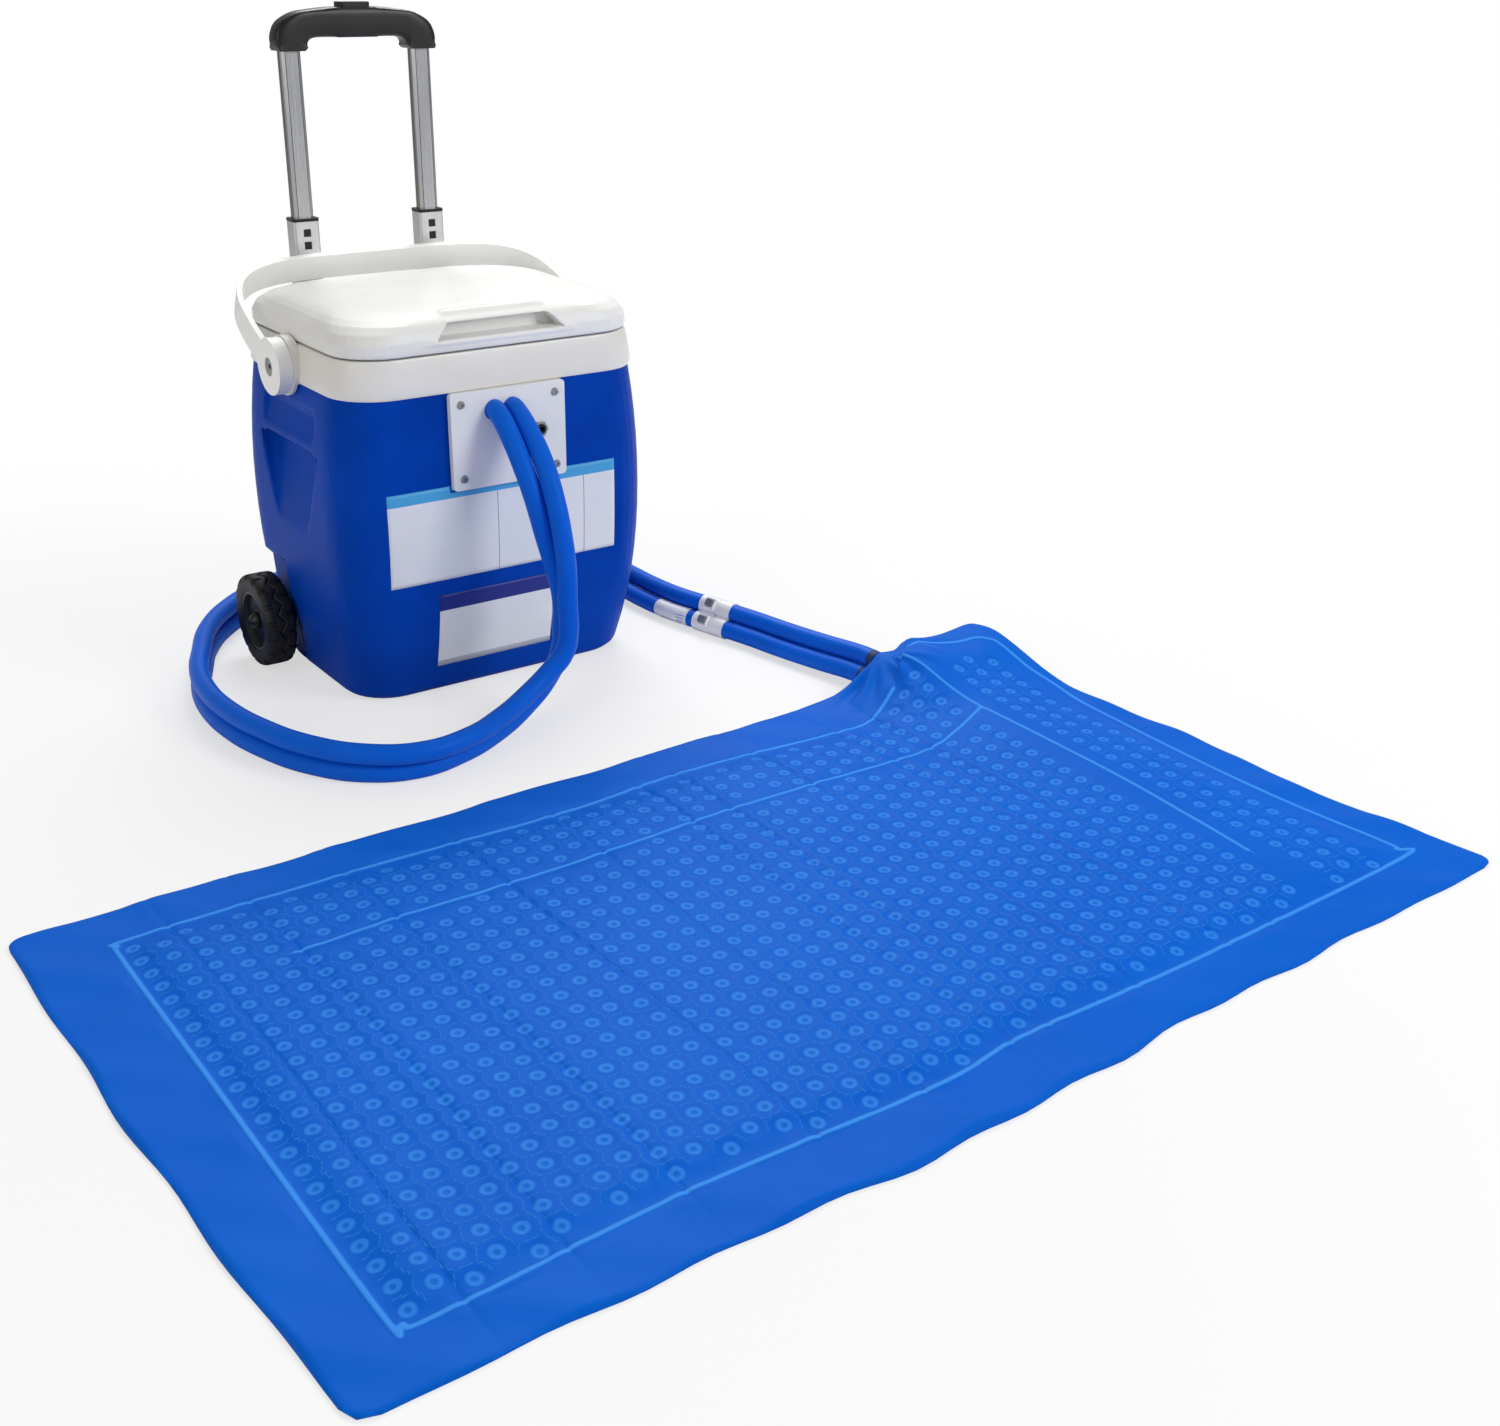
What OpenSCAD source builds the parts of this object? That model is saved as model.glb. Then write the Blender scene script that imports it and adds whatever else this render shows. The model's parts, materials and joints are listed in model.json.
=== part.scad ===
// Hot and cold therapy machine: a wheeled cooler with a lid, a bail handle and a
// telescopic trolley, a twin hose outlet, a quick coupler and a welded water pad.
// Origin: centre of the cooler's base on the floor. Front is -Y, up is +Z.

/* [Cooler body] */
// Width of the shell at its widest
belly_w = 340; // [326:2:352]
// Depth of the shell at its widest
belly_d = 262; // [254:2:268]
// Width of the shell at the floor, before its rounded edge
base_w = 308; // [300:2:316]
// Depth of the shell at the floor, before its rounded edge
base_d = 206; // [196:2:216]
// Width of the shell at its rim
top_w = 320; // [314:1:326]
// Depth of the shell at its rim
top_d = 259; // [254:1:262]
// Height of the widest level
belly_z = 190; // [180:2:200]
// Height of the shell's rim
shell_h = 308; // [300:2:316]
// Corner radius of the shell seen from above
plan_r = 48; // [42:1:54]
// Radius of the bottom edge
foot_r = 10; // [6:1:13]
// Wall of the moulded skins
skin = 3; // [2.4:0.2:3.6]
// Height of the side grips' lifting edge
grip_lip_z = 247; // [240:1:252]
// Depth of the side grips
grip_cut = 14; // [11:1:16]
// Width of the side grips at the lifting edge
grip_wide = 134; // [120:2:144]

/* [Liner] */
// Insulated wall at the mouth, on each side
wall_w = 25; // [23:0.5:27]
// Insulated wall at the mouth, front and back
wall_d = 26.5; // [25:0.5:28]
// Width inside the liner at its floor
floor_w = 236; // [226:2:244]
// Depth inside the liner at its floor
floor_d = 164; // [156:2:172]
// Height of the liner's floor
floor_z = 68; // [62:1:76]
// Wall of the liner
liner_t = 2.5; // [2:0.1:3]

/* [Collar and lid] */
// Height of the collar
collar_h = 36; // [32:1:40]
// How far the collar stands proud of the shell
collar_over = 1.5; // [1:0.1:2]
// Gap between the collar and the lid
lid_gap = 1.5; // [1:0.1:2.5]
// Height of the lid
lid_h = 35.5; // [33:0.5:38]
// Width of the lid
lid_w = 312; // [308:1:312]
// Depth of the lid
lid_d = 260; // [256:1:260]
// Corner radius of the lid
lid_r = 46; // [42:1:50]
// Depth of the lid's plug in the liner
plug_h = 14; // [10:1:16]
// Width of the lid's finger recess along its lower edge
recess_w = 134; // [120:2:140]
// Depth of the finger recess
recess_cut = 22; // [18:1:24]
// Distance of each lid hinge from the middle
hinge_x = 98; // [94:1:104]
// Radius of the hinge knuckles
hinge_r = 6; // [5.5:0.25:6.5]
// Diameter of the hinge pins
hinge_pin_d = 5; // [4:0.25:5.5]

/* [Bail handle] */
// Height of the bail's pivots above the shell's rim
pivot_up = 14; // [12:1:16]
// Reach of the bail from its pivots to the middle of the bar
bail_reach = 147.5; // [147:0.5:149]
// Lean of the bail behind upright at rest, in degrees
bail_lean = 64; // [63:0.5:64.5]
// Width of the bail's strap
strap_w = 27.5; // [26:0.5:28]
// Thickness of the bail's strap
strap_t = 5.5; // [5:0.25:6.5]
// Walls of the groove in the strap's edge
strap_wall = 1.6; // [1.4:0.1:2]
// Radius of the hub at each end of the bail
hub_r = 27; // [25:0.5:28]
// Radius of the pivot bosses on the collar
boss_r = 28.5; // [27.5:0.5:30]
// Diameter of the pivot screws
pivot_d = 8; // [7:0.5:9]

/* [Front plate] */
// Width of the front plate
plate_w = 123; // [117:1:129]
// Height of the front plate
plate_h = 93.5; // [91:0.5:96]
// Thickness of the front plate
plate_t = 6.5; // [5.5:0.5:7]
// Corner radius of the front plate
plate_r = 4; // [3:0.5:6]
// Distance of the plate's screws from its edges
plate_inset = 11; // [9:0.5:12]
// Diameter of the plate's screws
plate_screw_d = 4; // [3.5:0.25:5]
// Distance of the hose outlets below the plate's top edge
outlet_drop = 20; // [18:0.5:24]
// Sideways place of the middle of the hose outlets
outlet_x = -6; // [-8:1:-2]
// Sideways place of the power inlet
inlet_x = 33; // [31:1:38]
// Distance of the power inlet below the plate's top edge
inlet_drop = 45; // [42:1:50]
// Diameter of the power inlet's socket
socket_d = 5.6; // [5:0.1:6]
// Depth of the power inlet's socket
socket_deep = 9.5; // [8:0.5:11]

/* [Hoses] */
// Outer diameter of the foam sleeved hoses
hose_d = 19.4; // [18.6:0.1:19.5]
// Distance between the middles of the twin hoses
hose_pitch = 19.8; // [19.7:0.1:20.4]

/* [Trolley] */
// Distance of each trolley tube from the middle
rail_x = 70; // [66:1:73]
// Width of the outer sleeves
sleeve_w = 28; // [27:0.5:29]
// Depth of the outer sleeves
sleeve_d = 19.6; // [19:0.2:20.4]
// Wall of the outer sleeves
sleeve_t = 1.4; // [1.2:0.1:1.6]
// Height of the top of the outer sleeves
sleeve_top = 429; // [420:1:436]
// Width of the inner tubes
tube_w = 21.8; // [21:0.2:22.2]
// Depth of the inner tubes
tube_d = 13.8; // [13.4:0.1:14.2]
// Wall of the inner tubes
tube_t = 1.2; // [1:0.1:1.5]
// Height of the grip's legs at the middle stop
grip_z = 591; // [586:1:596]
// Length of the inner tubes
tube_l = 400; // [392:2:404]
// Overall width of the grip
grip_w = 174; // [170:2:180]
// Depth of the grip from front to back
grip_d = 24; // [22:1:27]
// Length of the push button
button_l = 34; // [30:1:38]
// Width of the push button
button_w = 16; // [14:0.5:17]
// Travel of the push button
button_travel = 4; // [3:0.5:4.5]

/* [Wheels] */
// Radius of the tyres
wheel_r = 48; // [45:1:50]
// Width of the tyres
wheel_w = 30; // [27:1:32]
// Distance of the tyres' inner faces from the middle
wheel_x = 168; // [167.5:0.5:171]
// How far the axle lies behind the middle
axle_y = 65; // [60:1:68]
// Diameter of the axle
axle_d = 8; // [7:0.5:9]
// Tread blocks on each shoulder
tread_n = 16; // [12:1:18]

/* [Pump] */
// Width of the pump
pump_w = 54; // [48:1:58]
// Depth of the pump
pump_d = 38; // [34:1:40]
// Height of the pump
pump_h = 42; // [38:1:46]
// Diameter of the impeller
impeller_d = 26; // [22:1:28]

/* [Coupler] */
// Outer radius of the coupler's barrels
coupler_r = 10.9; // [10.4:0.1:11]
// Length of the coupler's socket half
socket_l = 24; // [22:1:26]
// Length of the coupler's plug half outside the socket
plug_l = 18; // [16:1:20]
// Travel of the release buttons
latch_travel = 2; // [1.5:0.1:2.4]

/* [Pad] */
// Thickness of the pad's flat border
border_t = 3; // [2:0.5:4]
// Height of the pad's water field
field_h = 10; // [8:0.5:12]
// Width of the pad's flat border
border_w = 58; // [50:1:64]
// Width of a welded channel
weld_w = 12; // [8:1:14]

/* [Hidden] */
$fn = 48;

// clearances
seat = 0.3;
slide = 0.15;
run = 0.05;
// overall stations
rim_z = shell_h + collar_h;
lid_z = rim_z + lid_gap;
lid_top = lid_z + lid_h;
plate_y = -top_d/2 - 0.7;
liner_w = top_w - 2*wall_w;
liner_d = top_d - 2*wall_d;
plate_top = shell_h - seat;
outlet_z = plate_top - outlet_drop;
inlet_z = plate_top - inlet_drop;
hinge_y = lid_d/2 + hinge_r + 1;
hinge_z = lid_z + 10.5;
pivot_z = shell_h + pivot_up;
boss_out = max(collar_edge(pivot_z)[0] + 5.5, lid_w/2 + 9);
hub_in = boss_out + seat;
hub_t = 13.7;
strap_x = hub_in + hub_t/2 + 3.3;
rail_y = 155;
axle_z = wheel_r + 0.2;
well_x = wheel_x - 17;
well_y = axle_y - 29;
well_roof = 100;

// ---------- shapes ----------
function ring_pts(g) = let(a = g[0], b = g[1], r = g[2], x = g[4], y = g[5])
  [for (q = [0:3]) for (i = [0:8]) let(t = q*90 + i*90/8)
    [(q == 0 || q == 3 ? a - r : r - a) + r*cos(t) + x,
     (q < 2 ? b - r : r - b) + r*sin(t) + y, g[3]]];

// Skin through rounded rectangles, each [half width, half depth, radius, z, x, y]
module loft(rings, closed = false) {
  n = 36;
  m = len(rings);
  pts = [for (g = rings) each ring_pts(g)];
  sides = [for (i = [0:(closed ? m - 1 : m - 2)]) for (j = [0:n-1])
    let(a = i*n + j, b = i*n + (j+1)%n, c = ((i+1)%m)*n + (j+1)%n, d = ((i+1)%m)*n + j)
    each [[a, d, c], [a, c, b]]];
  caps = closed ? [] : [[for (j = [0:n-1]) j], [for (j = [n-1:-1:0]) (m-1)*n + j]];
  polyhedron(points = pts, faces = concat(sides, caps), convexity = 6);
}

function unit(v) = v/norm(v);

// Point at s on the smooth curve through p
function spline(p, s) = let(n = len(p), i = min(floor(s), n - 2), t = s - i,
    b = p[i], c = p[i+1], a = i > 0 ? p[i-1] : 2*b - c, d = i < n - 2 ? p[i+2] : 2*c - b)
  0.5*(2*b + (c - a)*t + (2*a - 5*b + 4*c - d)*t*t + (3*b - a - 3*c + d)*t*t*t);

// Tube of radius r through the route; side = which of the twin hoses, 0 for a single one.
// Each route point is [x, y, z] or [x, y, z, bx, by, bz] with the way to the second hose.
module tube(route, r, rings, sides, side = 0, first = [0, 0, 0], last = [0, 0, 0]) {
  path = [for (p = route) [p[0], p[1], p[2]]];
  lean = [for (p = route) len(p) > 3 ? [p[3], p[4], p[5]] : [1, 0, 0]];
  s_end = len(path) - 1;
  frames = [for (k = [0:rings-1]) let(s = s_end*k/(rings-1), e = 0.01,
      way = k == 0 && norm(first) > 0 ? first : k == rings-1 && norm(last) > 0 ? last
        : spline(path, min(s + e, s_end)) - spline(path, max(s - e, 0)),
      t = unit(way), b0 = spline(lean, s), b = unit(b0 - (b0*t)*t))
    [spline(path, s) + side*hose_pitch/2*b, b, cross(t, b)]];
  pts = [for (f = frames) for (j = [0:sides-1])
    f[0] + r*(cos(360*j/sides)*f[1] + sin(360*j/sides)*f[2])];
  skin_faces = [for (k = [0:rings-2]) for (j = [0:sides-1])
    let(a = k*sides + j, b = k*sides + (j+1)%sides, c = b + sides, d = a + sides)
    each [[a, d, c], [a, c, b]]];
  caps = [[for (j = [0:sides-1]) j], [for (j = [sides-1:-1:0]) (rings-1)*sides + j]];
  polyhedron(points = pts, faces = concat(skin_faces, caps), convexity = 6);
}

// Coil spring standing on z = 0
module coil(r, wire, h, turns) {
  per = 10;
  sides = 6;
  m = turns*per;
  pts = [for (k = [0:m]) let(a = 360*k/per, z = wire + (h - 2*wire)*k/m) for (j = [0:sides-1])
    let(q = r + wire*cos(60*j)) [q*cos(a), q*sin(a), z + wire*sin(60*j)]];
  walls = [for (k = [0:m-1]) for (j = [0:sides-1])
    let(a = k*sides + j, b = k*sides + (j+1)%sides, c = b + sides, d = a + sides)
    each [[a, b, c], [a, c, d]]];
  caps = [[for (j = [sides-1:-1:0]) j], [for (j = [0:sides-1]) m*sides + j]];
  polyhedron(points = pts, faces = concat(walls, caps), convexity = 8);
}

module both() {
  children();
  mirror([1, 0, 0]) children();
}

// Extrusion along X from a front-to-back outline in (y, z)
module along_x(x0, x1) translate([x0, 0, 0]) rotate([90, 0, 90]) linear_extrude(x1 - x0) children();

// Extrusion along Y from an outline in (x, z)
module along_y(y0, y1) translate([0, y1, 0]) rotate([90, 0, 0]) linear_extrude(y1 - y0) children();

module rod_x(x0, x1, r, y, z) translate([x0, y, z]) rotate([0, 90, 0]) cylinder(h = x1 - x0, r = r);

module rod_y(y0, y1, r, x, z) translate([x, y0, z]) rotate([-90, 0, 0]) cylinder(h = y1 - y0, r = r);

module rounded_box(w, d, r) {
  square([w - 2*r, d], center = true);
  square([w, d - 2*r], center = true);
  for (x = [r - w/2, w/2 - r], y = [r - d/2, d/2 - r]) translate([x, y]) circle(r = r);
}

module chamfered_box(w, d, c) polygon([[w/2, d/2 - c], [w/2 - c, d/2], [c - w/2, d/2],
  [-w/2, d/2 - c], [-w/2, c - d/2], [c - w/2, -d/2], [w/2 - c, -d/2], [w/2, c - d/2]]);

// ---------- cooler body ----------
function bulge(z, belly, base, top) = z < belly_z
  ? belly/2 - (belly - base)/2*pow((belly_z - z)/belly_z, 2.2)
  : belly/2 - (belly - top)/2*pow((z - belly_z)/(shell_h - belly_z), 2);
function half_w(z) = bulge(z, belly_w, base_w, top_w);
function half_d(z) = bulge(z, belly_d, base_d, top_d);
function body_ring(z, inset) = [half_w(z) - inset, half_d(z) - inset, plan_r - inset, z, 0, 0];
function foot_ring(t, z0, inset) = let(r = foot_r - min(inset, foot_r - 3), z = z0 + r*(1 - cos(t)))
  body_ring(z, inset + r*(1 - sin(t)));
function body_rings(inset, z0, z1, n) = concat([for (t = [0:30:60]) foot_ring(t, z0, inset)],
  [for (k = [0:n]) body_ring(z0 + foot_r + (z1 - z0 - foot_r)*k/n, inset)]);
function upside(list) = [for (k = [len(list)-1:-1:0]) list[k]];

// Recess for each wheel, open to the side and the back
module wheel_wells(grow) {
  x0 = well_x - grow;
  both() along_y(well_y - grow, belly_d) polygon([[x0, -5], [x0 + 80, -5],
    [x0 + 80, well_roof + 84 + grow], [x0, well_roof + grow]]);
}

// Scooped grip in each side with a sharp lifting edge and a soft dent over it
function scoop_ring(z, deep, half, grow, dz) = let(d = deep + grow, a = (d + 9)/2)
  [a, half + grow, min(10, a*0.8), z + dz, half_w(z) + 9 - a, 0];
module side_grips(grow) both() {
  g = grip_wide/2;
  loft([scoop_ring(grip_lip_z - 90, -1.5, 0.45*g, grow, -grow),
    scoop_ring(grip_lip_z - 77, 0.11*grip_cut, 0.57*g, grow, -grow),
    scoop_ring(grip_lip_z - 62, 0.32*grip_cut, 0.65*g, grow, 0),
    scoop_ring(grip_lip_z - 42, 0.61*grip_cut, 0.76*g, grow, 0),
    scoop_ring(grip_lip_z - 22, 0.9*grip_cut, 0.88*g, grow, 0),
    scoop_ring(grip_lip_z - 9, grip_cut, 0.97*g, grow, 0),
    scoop_ring(grip_lip_z, grip_cut, g, grow, grow)]);
  loft([scoop_ring(grip_lip_z + 5, -1, 0.8*g, grow, -grow),
    scoop_ring(grip_lip_z + 15, 2, 0.9*g, grow, 0),
    scoop_ring(grip_lip_z + 28, 4, 0.9*g, grow, 0),
    scoop_ring(grip_lip_z + 37, 5, 0.86*g, grow, 0),
    scoop_ring(grip_lip_z + 43, -1, 0.8*g, grow, grow)]);
}

module body_holes(gap) {
  for (s = [-1, 1]) rod_y(-150, -80, 6 + gap, outlet_x + s*hose_pitch/2, outlet_z);
  rod_y(-150, -80, 5 + gap, inlet_x, inlet_z);
}

module outer_shell() color("royalblue") difference() {
  union() {
    loft(concat(body_rings(0, 0, shell_h, 12), upside(body_rings(skin, skin, shell_h, 7))));
    intersection() {
      loft(body_rings(0, 0, shell_h, 12));
      union() {
        wheel_wells(skin);
        side_grips(skin);
      }
    }
    rod_x(-well_x, well_x, axle_d/2 + 4, axle_y, axle_z);
  }
  wheel_wells(0);
  side_grips(0);
  rod_x(-well_x - 9, well_x + 9, axle_d/2 + slide, axle_y, axle_z);
  translate([-plate_w/2 - 0.5, -belly_d, plate_top - plate_h - 0.5])
    cube([plate_w + 1, belly_d + plate_y, plate_h + 9]);
  body_holes(seat);
  plate_screw_rods(plate_screw_d/2 + slide);
  for (x = [-1, 1]) rod_y(110, 150, 2 + slide, x*34, upper_z + 10);
  for (x = [-1, 1]) rod_y(100, 150, 2 + slide, x*34, base_z + 20);
}

module foam_insulation() color("ivory") difference() {
  loft(concat(body_rings(skin + seat, skin + seat, shell_h - seat, 7),
    [liner_ring(shell_h - seat, liner_t + seat), liner_ring(floor_z, liner_t + seat),
     liner_ring(floor_z - liner_t - seat, liner_t - 8)]));
  wheel_wells(skin + seat);
  side_grips(skin + seat);
  rod_x(-well_x - 9, well_x + 9, axle_d/2 + 4 + seat, axle_y, axle_z);
  body_holes(seat);
  plate_screw_rods(plate_screw_d/2 + seat);
  for (x = [-1, 1]) rod_y(100, 150, 2 + seat, x*34, upper_z + 10);
  for (x = [-1, 1]) rod_y(90, 150, 2 + seat, x*34, base_z + 20);
}

function liner_half(z, floor_size, mouth) = floor_size/2
  + (mouth - floor_size)/2*(z - floor_z)/(rim_z - floor_z);
function liner_ring(z, grow) = [liner_half(max(z, floor_z), floor_w, liner_w) + grow,
  liner_half(max(z, floor_z), floor_d, liner_d) + grow, 34 + grow, z, 0, 0];
flange_h = 4;

module inner_liner() color("white") difference() {
  loft([liner_ring(floor_z - liner_t, liner_t - 8), liner_ring(floor_z, liner_t),
    liner_ring(rim_z - flange_h, liner_t), liner_ring(rim_z - flange_h, liner_t + 4),
    liner_ring(rim_z, liner_t + 4), liner_ring(rim_z, 0), liner_ring(floor_z + 8, 0),
    liner_ring(floor_z, -8)]);
  body_holes(seat);
}

// ---------- collar and lid ----------
// Half sizes of the collar's outside at height z
function collar_edge(z) = let(k = (z - shell_h)/collar_h)
  [top_w/2 + collar_over - 4.5*k*k, top_d/2 + 1.5 + collar_over - 2.5*k*k];
function collar_ring(z, inset) = [collar_edge(z)[0] - inset, collar_edge(z)[1] - inset,
  lid_r + 3 - inset, z, 0, 0];

module hinge_cheek(w) {
  along_x(-w/2, w/2) {
    translate([hinge_y, hinge_z]) circle(r = hinge_r);
    polygon([[lid_d/2 - 4, rim_z - 22], [lid_d/2 + 3, rim_z - 22], [hinge_y + hinge_r, hinge_z - 6],
      [hinge_y + hinge_r, hinge_z], [lid_d/2 + 1, hinge_z], [lid_d/2 + 1, rim_z - 1],
      [lid_d/2 - 4, rim_z - 1]]);
  }
}

knuckle_w = 16;
cheek_w = 4;

module collar() color("white") difference() {
  union() {
    loft([collar_ring(shell_h, 1.3), collar_ring(shell_h + 2.5, 0),
      collar_ring(shell_h + 12, 0), collar_ring(shell_h + 22, 0), collar_ring(rim_z - 2, 0),
      collar_ring(rim_z, 1.2), liner_ring(rim_z, liner_t + 4 + seat),
      liner_ring(rim_z - flange_h - seat, liner_t + 4 + seat),
      liner_ring(rim_z - flange_h - seat, liner_t + seat), liner_ring(shell_h, liner_t + seat)],
      closed = true);
    both() intersection() {
      rod_x(collar_edge(pivot_z)[0] - 5, boss_out, boss_r, 0, pivot_z);
      union() {
        translate([0, -50, shell_h]) cube([boss_out, 100, collar_h - 1]);
        translate([lid_w/2 + 1, -50, shell_h]) cube([boss_out, 100, 60]);
        translate([half_w(pivot_z - boss_r) + seat, -50, shell_h - 40]) cube([30, 100, 60]);
      }
    }
    both() for (s = [-1, 1])
      translate([hinge_x + s*(knuckle_w + cheek_w)/2, 0, 0]) hinge_cheek(cheek_w - 2*slide);
  }
  both() rod_x(boss_out - 17, boss_out + 1, pivot_d/2 + slide, 0, pivot_z);
  both() rod_x(hinge_x - 20, hinge_x + 20, hinge_pin_d/2 + run, hinge_y, hinge_z);
}

function lid_ring(z, dw, dd, inset) = [lid_w/2 - dw - inset, lid_d/2 - dd - inset,
  min(lid_r + (dw > 2 ? 1.2*dw : 0), lid_d/2 - dd - 9) - inset, lid_z + z, 0, 0];
lid_out = [[0, 2, 2], [1.5, 0, 0], [12.5, 0, 0], [20.5, 3, 2.5], [26.5, 8, 8], [30.5, 15, 15],
  [33.5, 26, 26], [35, 44, 44], [35.5, 76, 75]];
lid_k = lid_h/35.5;

// Raised surround and pocket for the fingers, at the lid's front edge
module recess_front(w_low, w_top, z_low, z_top) along_y(-lid_d/2 - 9, 60 - lid_d/2)
  polygon([[-w_low/2, z_low], [w_low/2, z_low], [w_top/2, z_top], [-w_top/2, z_top]]);

module lid_shell() color("white") {
  f = -lid_d/2;
  difference() {
    union() {
      loft(concat(
        [for (k = [5:-1:2]) lid_ring(lid_out[k][0]*lid_k - skin, lid_out[k][1], lid_out[k][2], skin)],
        [lid_ring(0, 2, 2, skin)],
        [for (g = lid_out) lid_ring(g[0]*lid_k, g[1], g[2], 0)]));
      intersection() {
        recess_front(recess_w + 30, recess_w - 28, lid_z + 6.5, lid_top);
        along_x(-recess_w, recess_w) polygon([[f - 1.5, lid_z + 6.5], [f - 1.5, lid_z + 12.5],
          [f + 20, lid_top], [f + recess_cut + skin + 6, lid_top - 2.2],
          [f + recess_cut + skin + 6, lid_z + 6.5]]);
      }
      both() difference() {
        along_x(hinge_x - knuckle_w/2 + slide, hinge_x + knuckle_w/2 - slide) {
          translate([hinge_y, hinge_z]) circle(r = hinge_r);
          polygon([[lid_d/2 - 1.5, lid_z + 3], [lid_d/2 + 1, lid_z + 3], [hinge_y, hinge_z - hinge_r],
            [hinge_y, hinge_z + hinge_r - 2], [lid_d/2 - 1.5, lid_z + 12]]);
        }
      }
    }
    intersection() {
      recess_front(recess_w, recess_w - 28, lid_z + 11.5, lid_z + 25.5);
      translate([-recess_w, f - 9, 0]) cube([2*recess_w, recess_cut + 9, lid_top]);
    }
    both() rod_x(hinge_x - 20, hinge_x + 20, hinge_pin_d/2 + run, hinge_y, hinge_z);
  }
}

module lid_liner() color("white") loft([
  [liner_w/2 - 4, liner_d/2 - 5.5, 32, lid_z - plug_h, 0, 0],
  [liner_w/2 - 2.5, liner_d/2 - 3, 33, lid_z, 0, 0],
  [lid_w/2 - 2 - skin - seat, lid_d/2 - 2 - skin - seat, lid_r - skin - seat, lid_z + 0.2, 0, 0],
  [lid_w/2 - 2 - skin - seat, lid_d/2 - 2 - skin - seat, lid_r - skin - seat, lid_z + 3, 0, 0]]);

module hinge_pins() color("silver") both()
  rod_x(hinge_x - knuckle_w/2 - cheek_w, hinge_x + knuckle_w/2 + cheek_w, hinge_pin_d/2,
    hinge_y, hinge_z);

// ---------- bail handle ----------
bow = 0.435;
function arch(q) = let(c = cos(q), s = sin(q))
  [strap_x*sign(c)*pow(abs(c), bow), bail_reach*pow(max(s, 0), bow)];
function arch_way(q) = unit(arch(min(q + 1, 180)) - arch(max(q - 1, 0)));

// Flat strap with a groove along the edge that is uppermost at rest
module channel() {
  w = strap_w/2;
  t = strap_t/2;
  v = strap_wall;
  section = [[-w, -t], [-w, t], [w, t], [w, t - v], [w - 9, t - v], [w - 9, v - t], [w, v - t],
    [w, -t]];
  qs = [for (k = [0:44]) 180*k/44];
  pts = [for (q = qs) let(p = arch(q), d = q < 1 ? [0, 1] : q > 179 ? [0, -1] : arch_way(q),
      out = [d[1], -d[0]])
    for (c = section) [p[0] + out[0]*c[1], c[0], p[1] + out[1]*c[1]]];
  n = len(section);
  m = len(qs);
  walls = [for (k = [0:m-2]) for (j = [0:n-1])
    let(a = k*n + j, b = k*n + (j+1)%n, c = b + n, d = a + n) each [[a, d, c], [a, c, b]]];
  tips = [[for (j = [0:n-1]) j], [for (j = [n-1:-1:0]) (m-1)*n + j]];
  polyhedron(points = pts, faces = concat(walls, tips), convexity = 8);
}

module bail_handle() color("white") translate([0, 0, pivot_z]) rotate([-bail_lean, 0, 0])
  difference() {
    union() {
      channel();
      both() rod_x(hub_in, hub_in + hub_t, hub_r, 0, 0);
      both() for (q = [17, 37]) let(p = arch(q), d = arch_way(q))
        translate([p[0], 0, p[1]]) rotate([0, -atan2(d[1], d[0]), 0])
          translate([-1, strap_w/2 - 10, 0.5 - strap_t/2]) cube([2, 9.5, strap_t - 1]);
    }
    both() rod_x(hub_in - 9, hub_in + hub_t + 9, pivot_d/2 + run, 0, 0);
    both() rod_x(hub_in + hub_t - 5, hub_in + hub_t + 9, pivot_d/2 + 5, 0, 0);
    both() rod_x(hub_in - 9, hub_in, hub_r + 30, 0, 0);
  }

module bail_screws() color("silver") both() difference() {
  union() {
    rod_x(boss_out - 16, hub_in + hub_t - 5, pivot_d/2, 0, pivot_z);
    rod_x(hub_in + hub_t - 5 + seat, hub_in + hub_t - 1.5, pivot_d/2 + 4, 0, pivot_z);
    rod_x(hub_in + hub_t - 6, hub_in + hub_t - 4, pivot_d/2 - 0.5, 0, pivot_z);
  }
  translate([hub_in + hub_t - 4, 0, pivot_z]) rotate([0, 90, 0]) cylinder(h = 9, r = 3, $fn = 6);
}

// ---------- front plate ----------
module plate_screw_rods(r) for (x = [-1, 1], z = [plate_top - plate_inset, plate_top - plate_h + plate_inset])
  rod_y(plate_y - plate_t - 1, plate_y + 12, r, x*(plate_w/2 - plate_inset), z);

module outlet_slot(r) for (s = [-1, 1]) translate([outlet_x + s*hose_pitch/2, outlet_z]) circle(r = r);

module front_plate() color("white") difference() {
  along_y(plate_y - plate_t, plate_y) difference() {
    translate([0, plate_top - plate_h/2]) rounded_box(plate_w, plate_h, plate_r);
    outlet_slot(hose_d/2 + seat);
    translate([outlet_x, outlet_z]) square([hose_pitch, hose_d/2], center = true);
    translate([inlet_x, inlet_z]) circle(r = 5 + slide);
    for (x = [-1, 1], z = [plate_top - plate_inset, plate_top - plate_h + plate_inset])
      translate([x*(plate_w/2 - plate_inset), z]) circle(r = plate_screw_d/2 + slide);
  }
}

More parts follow.
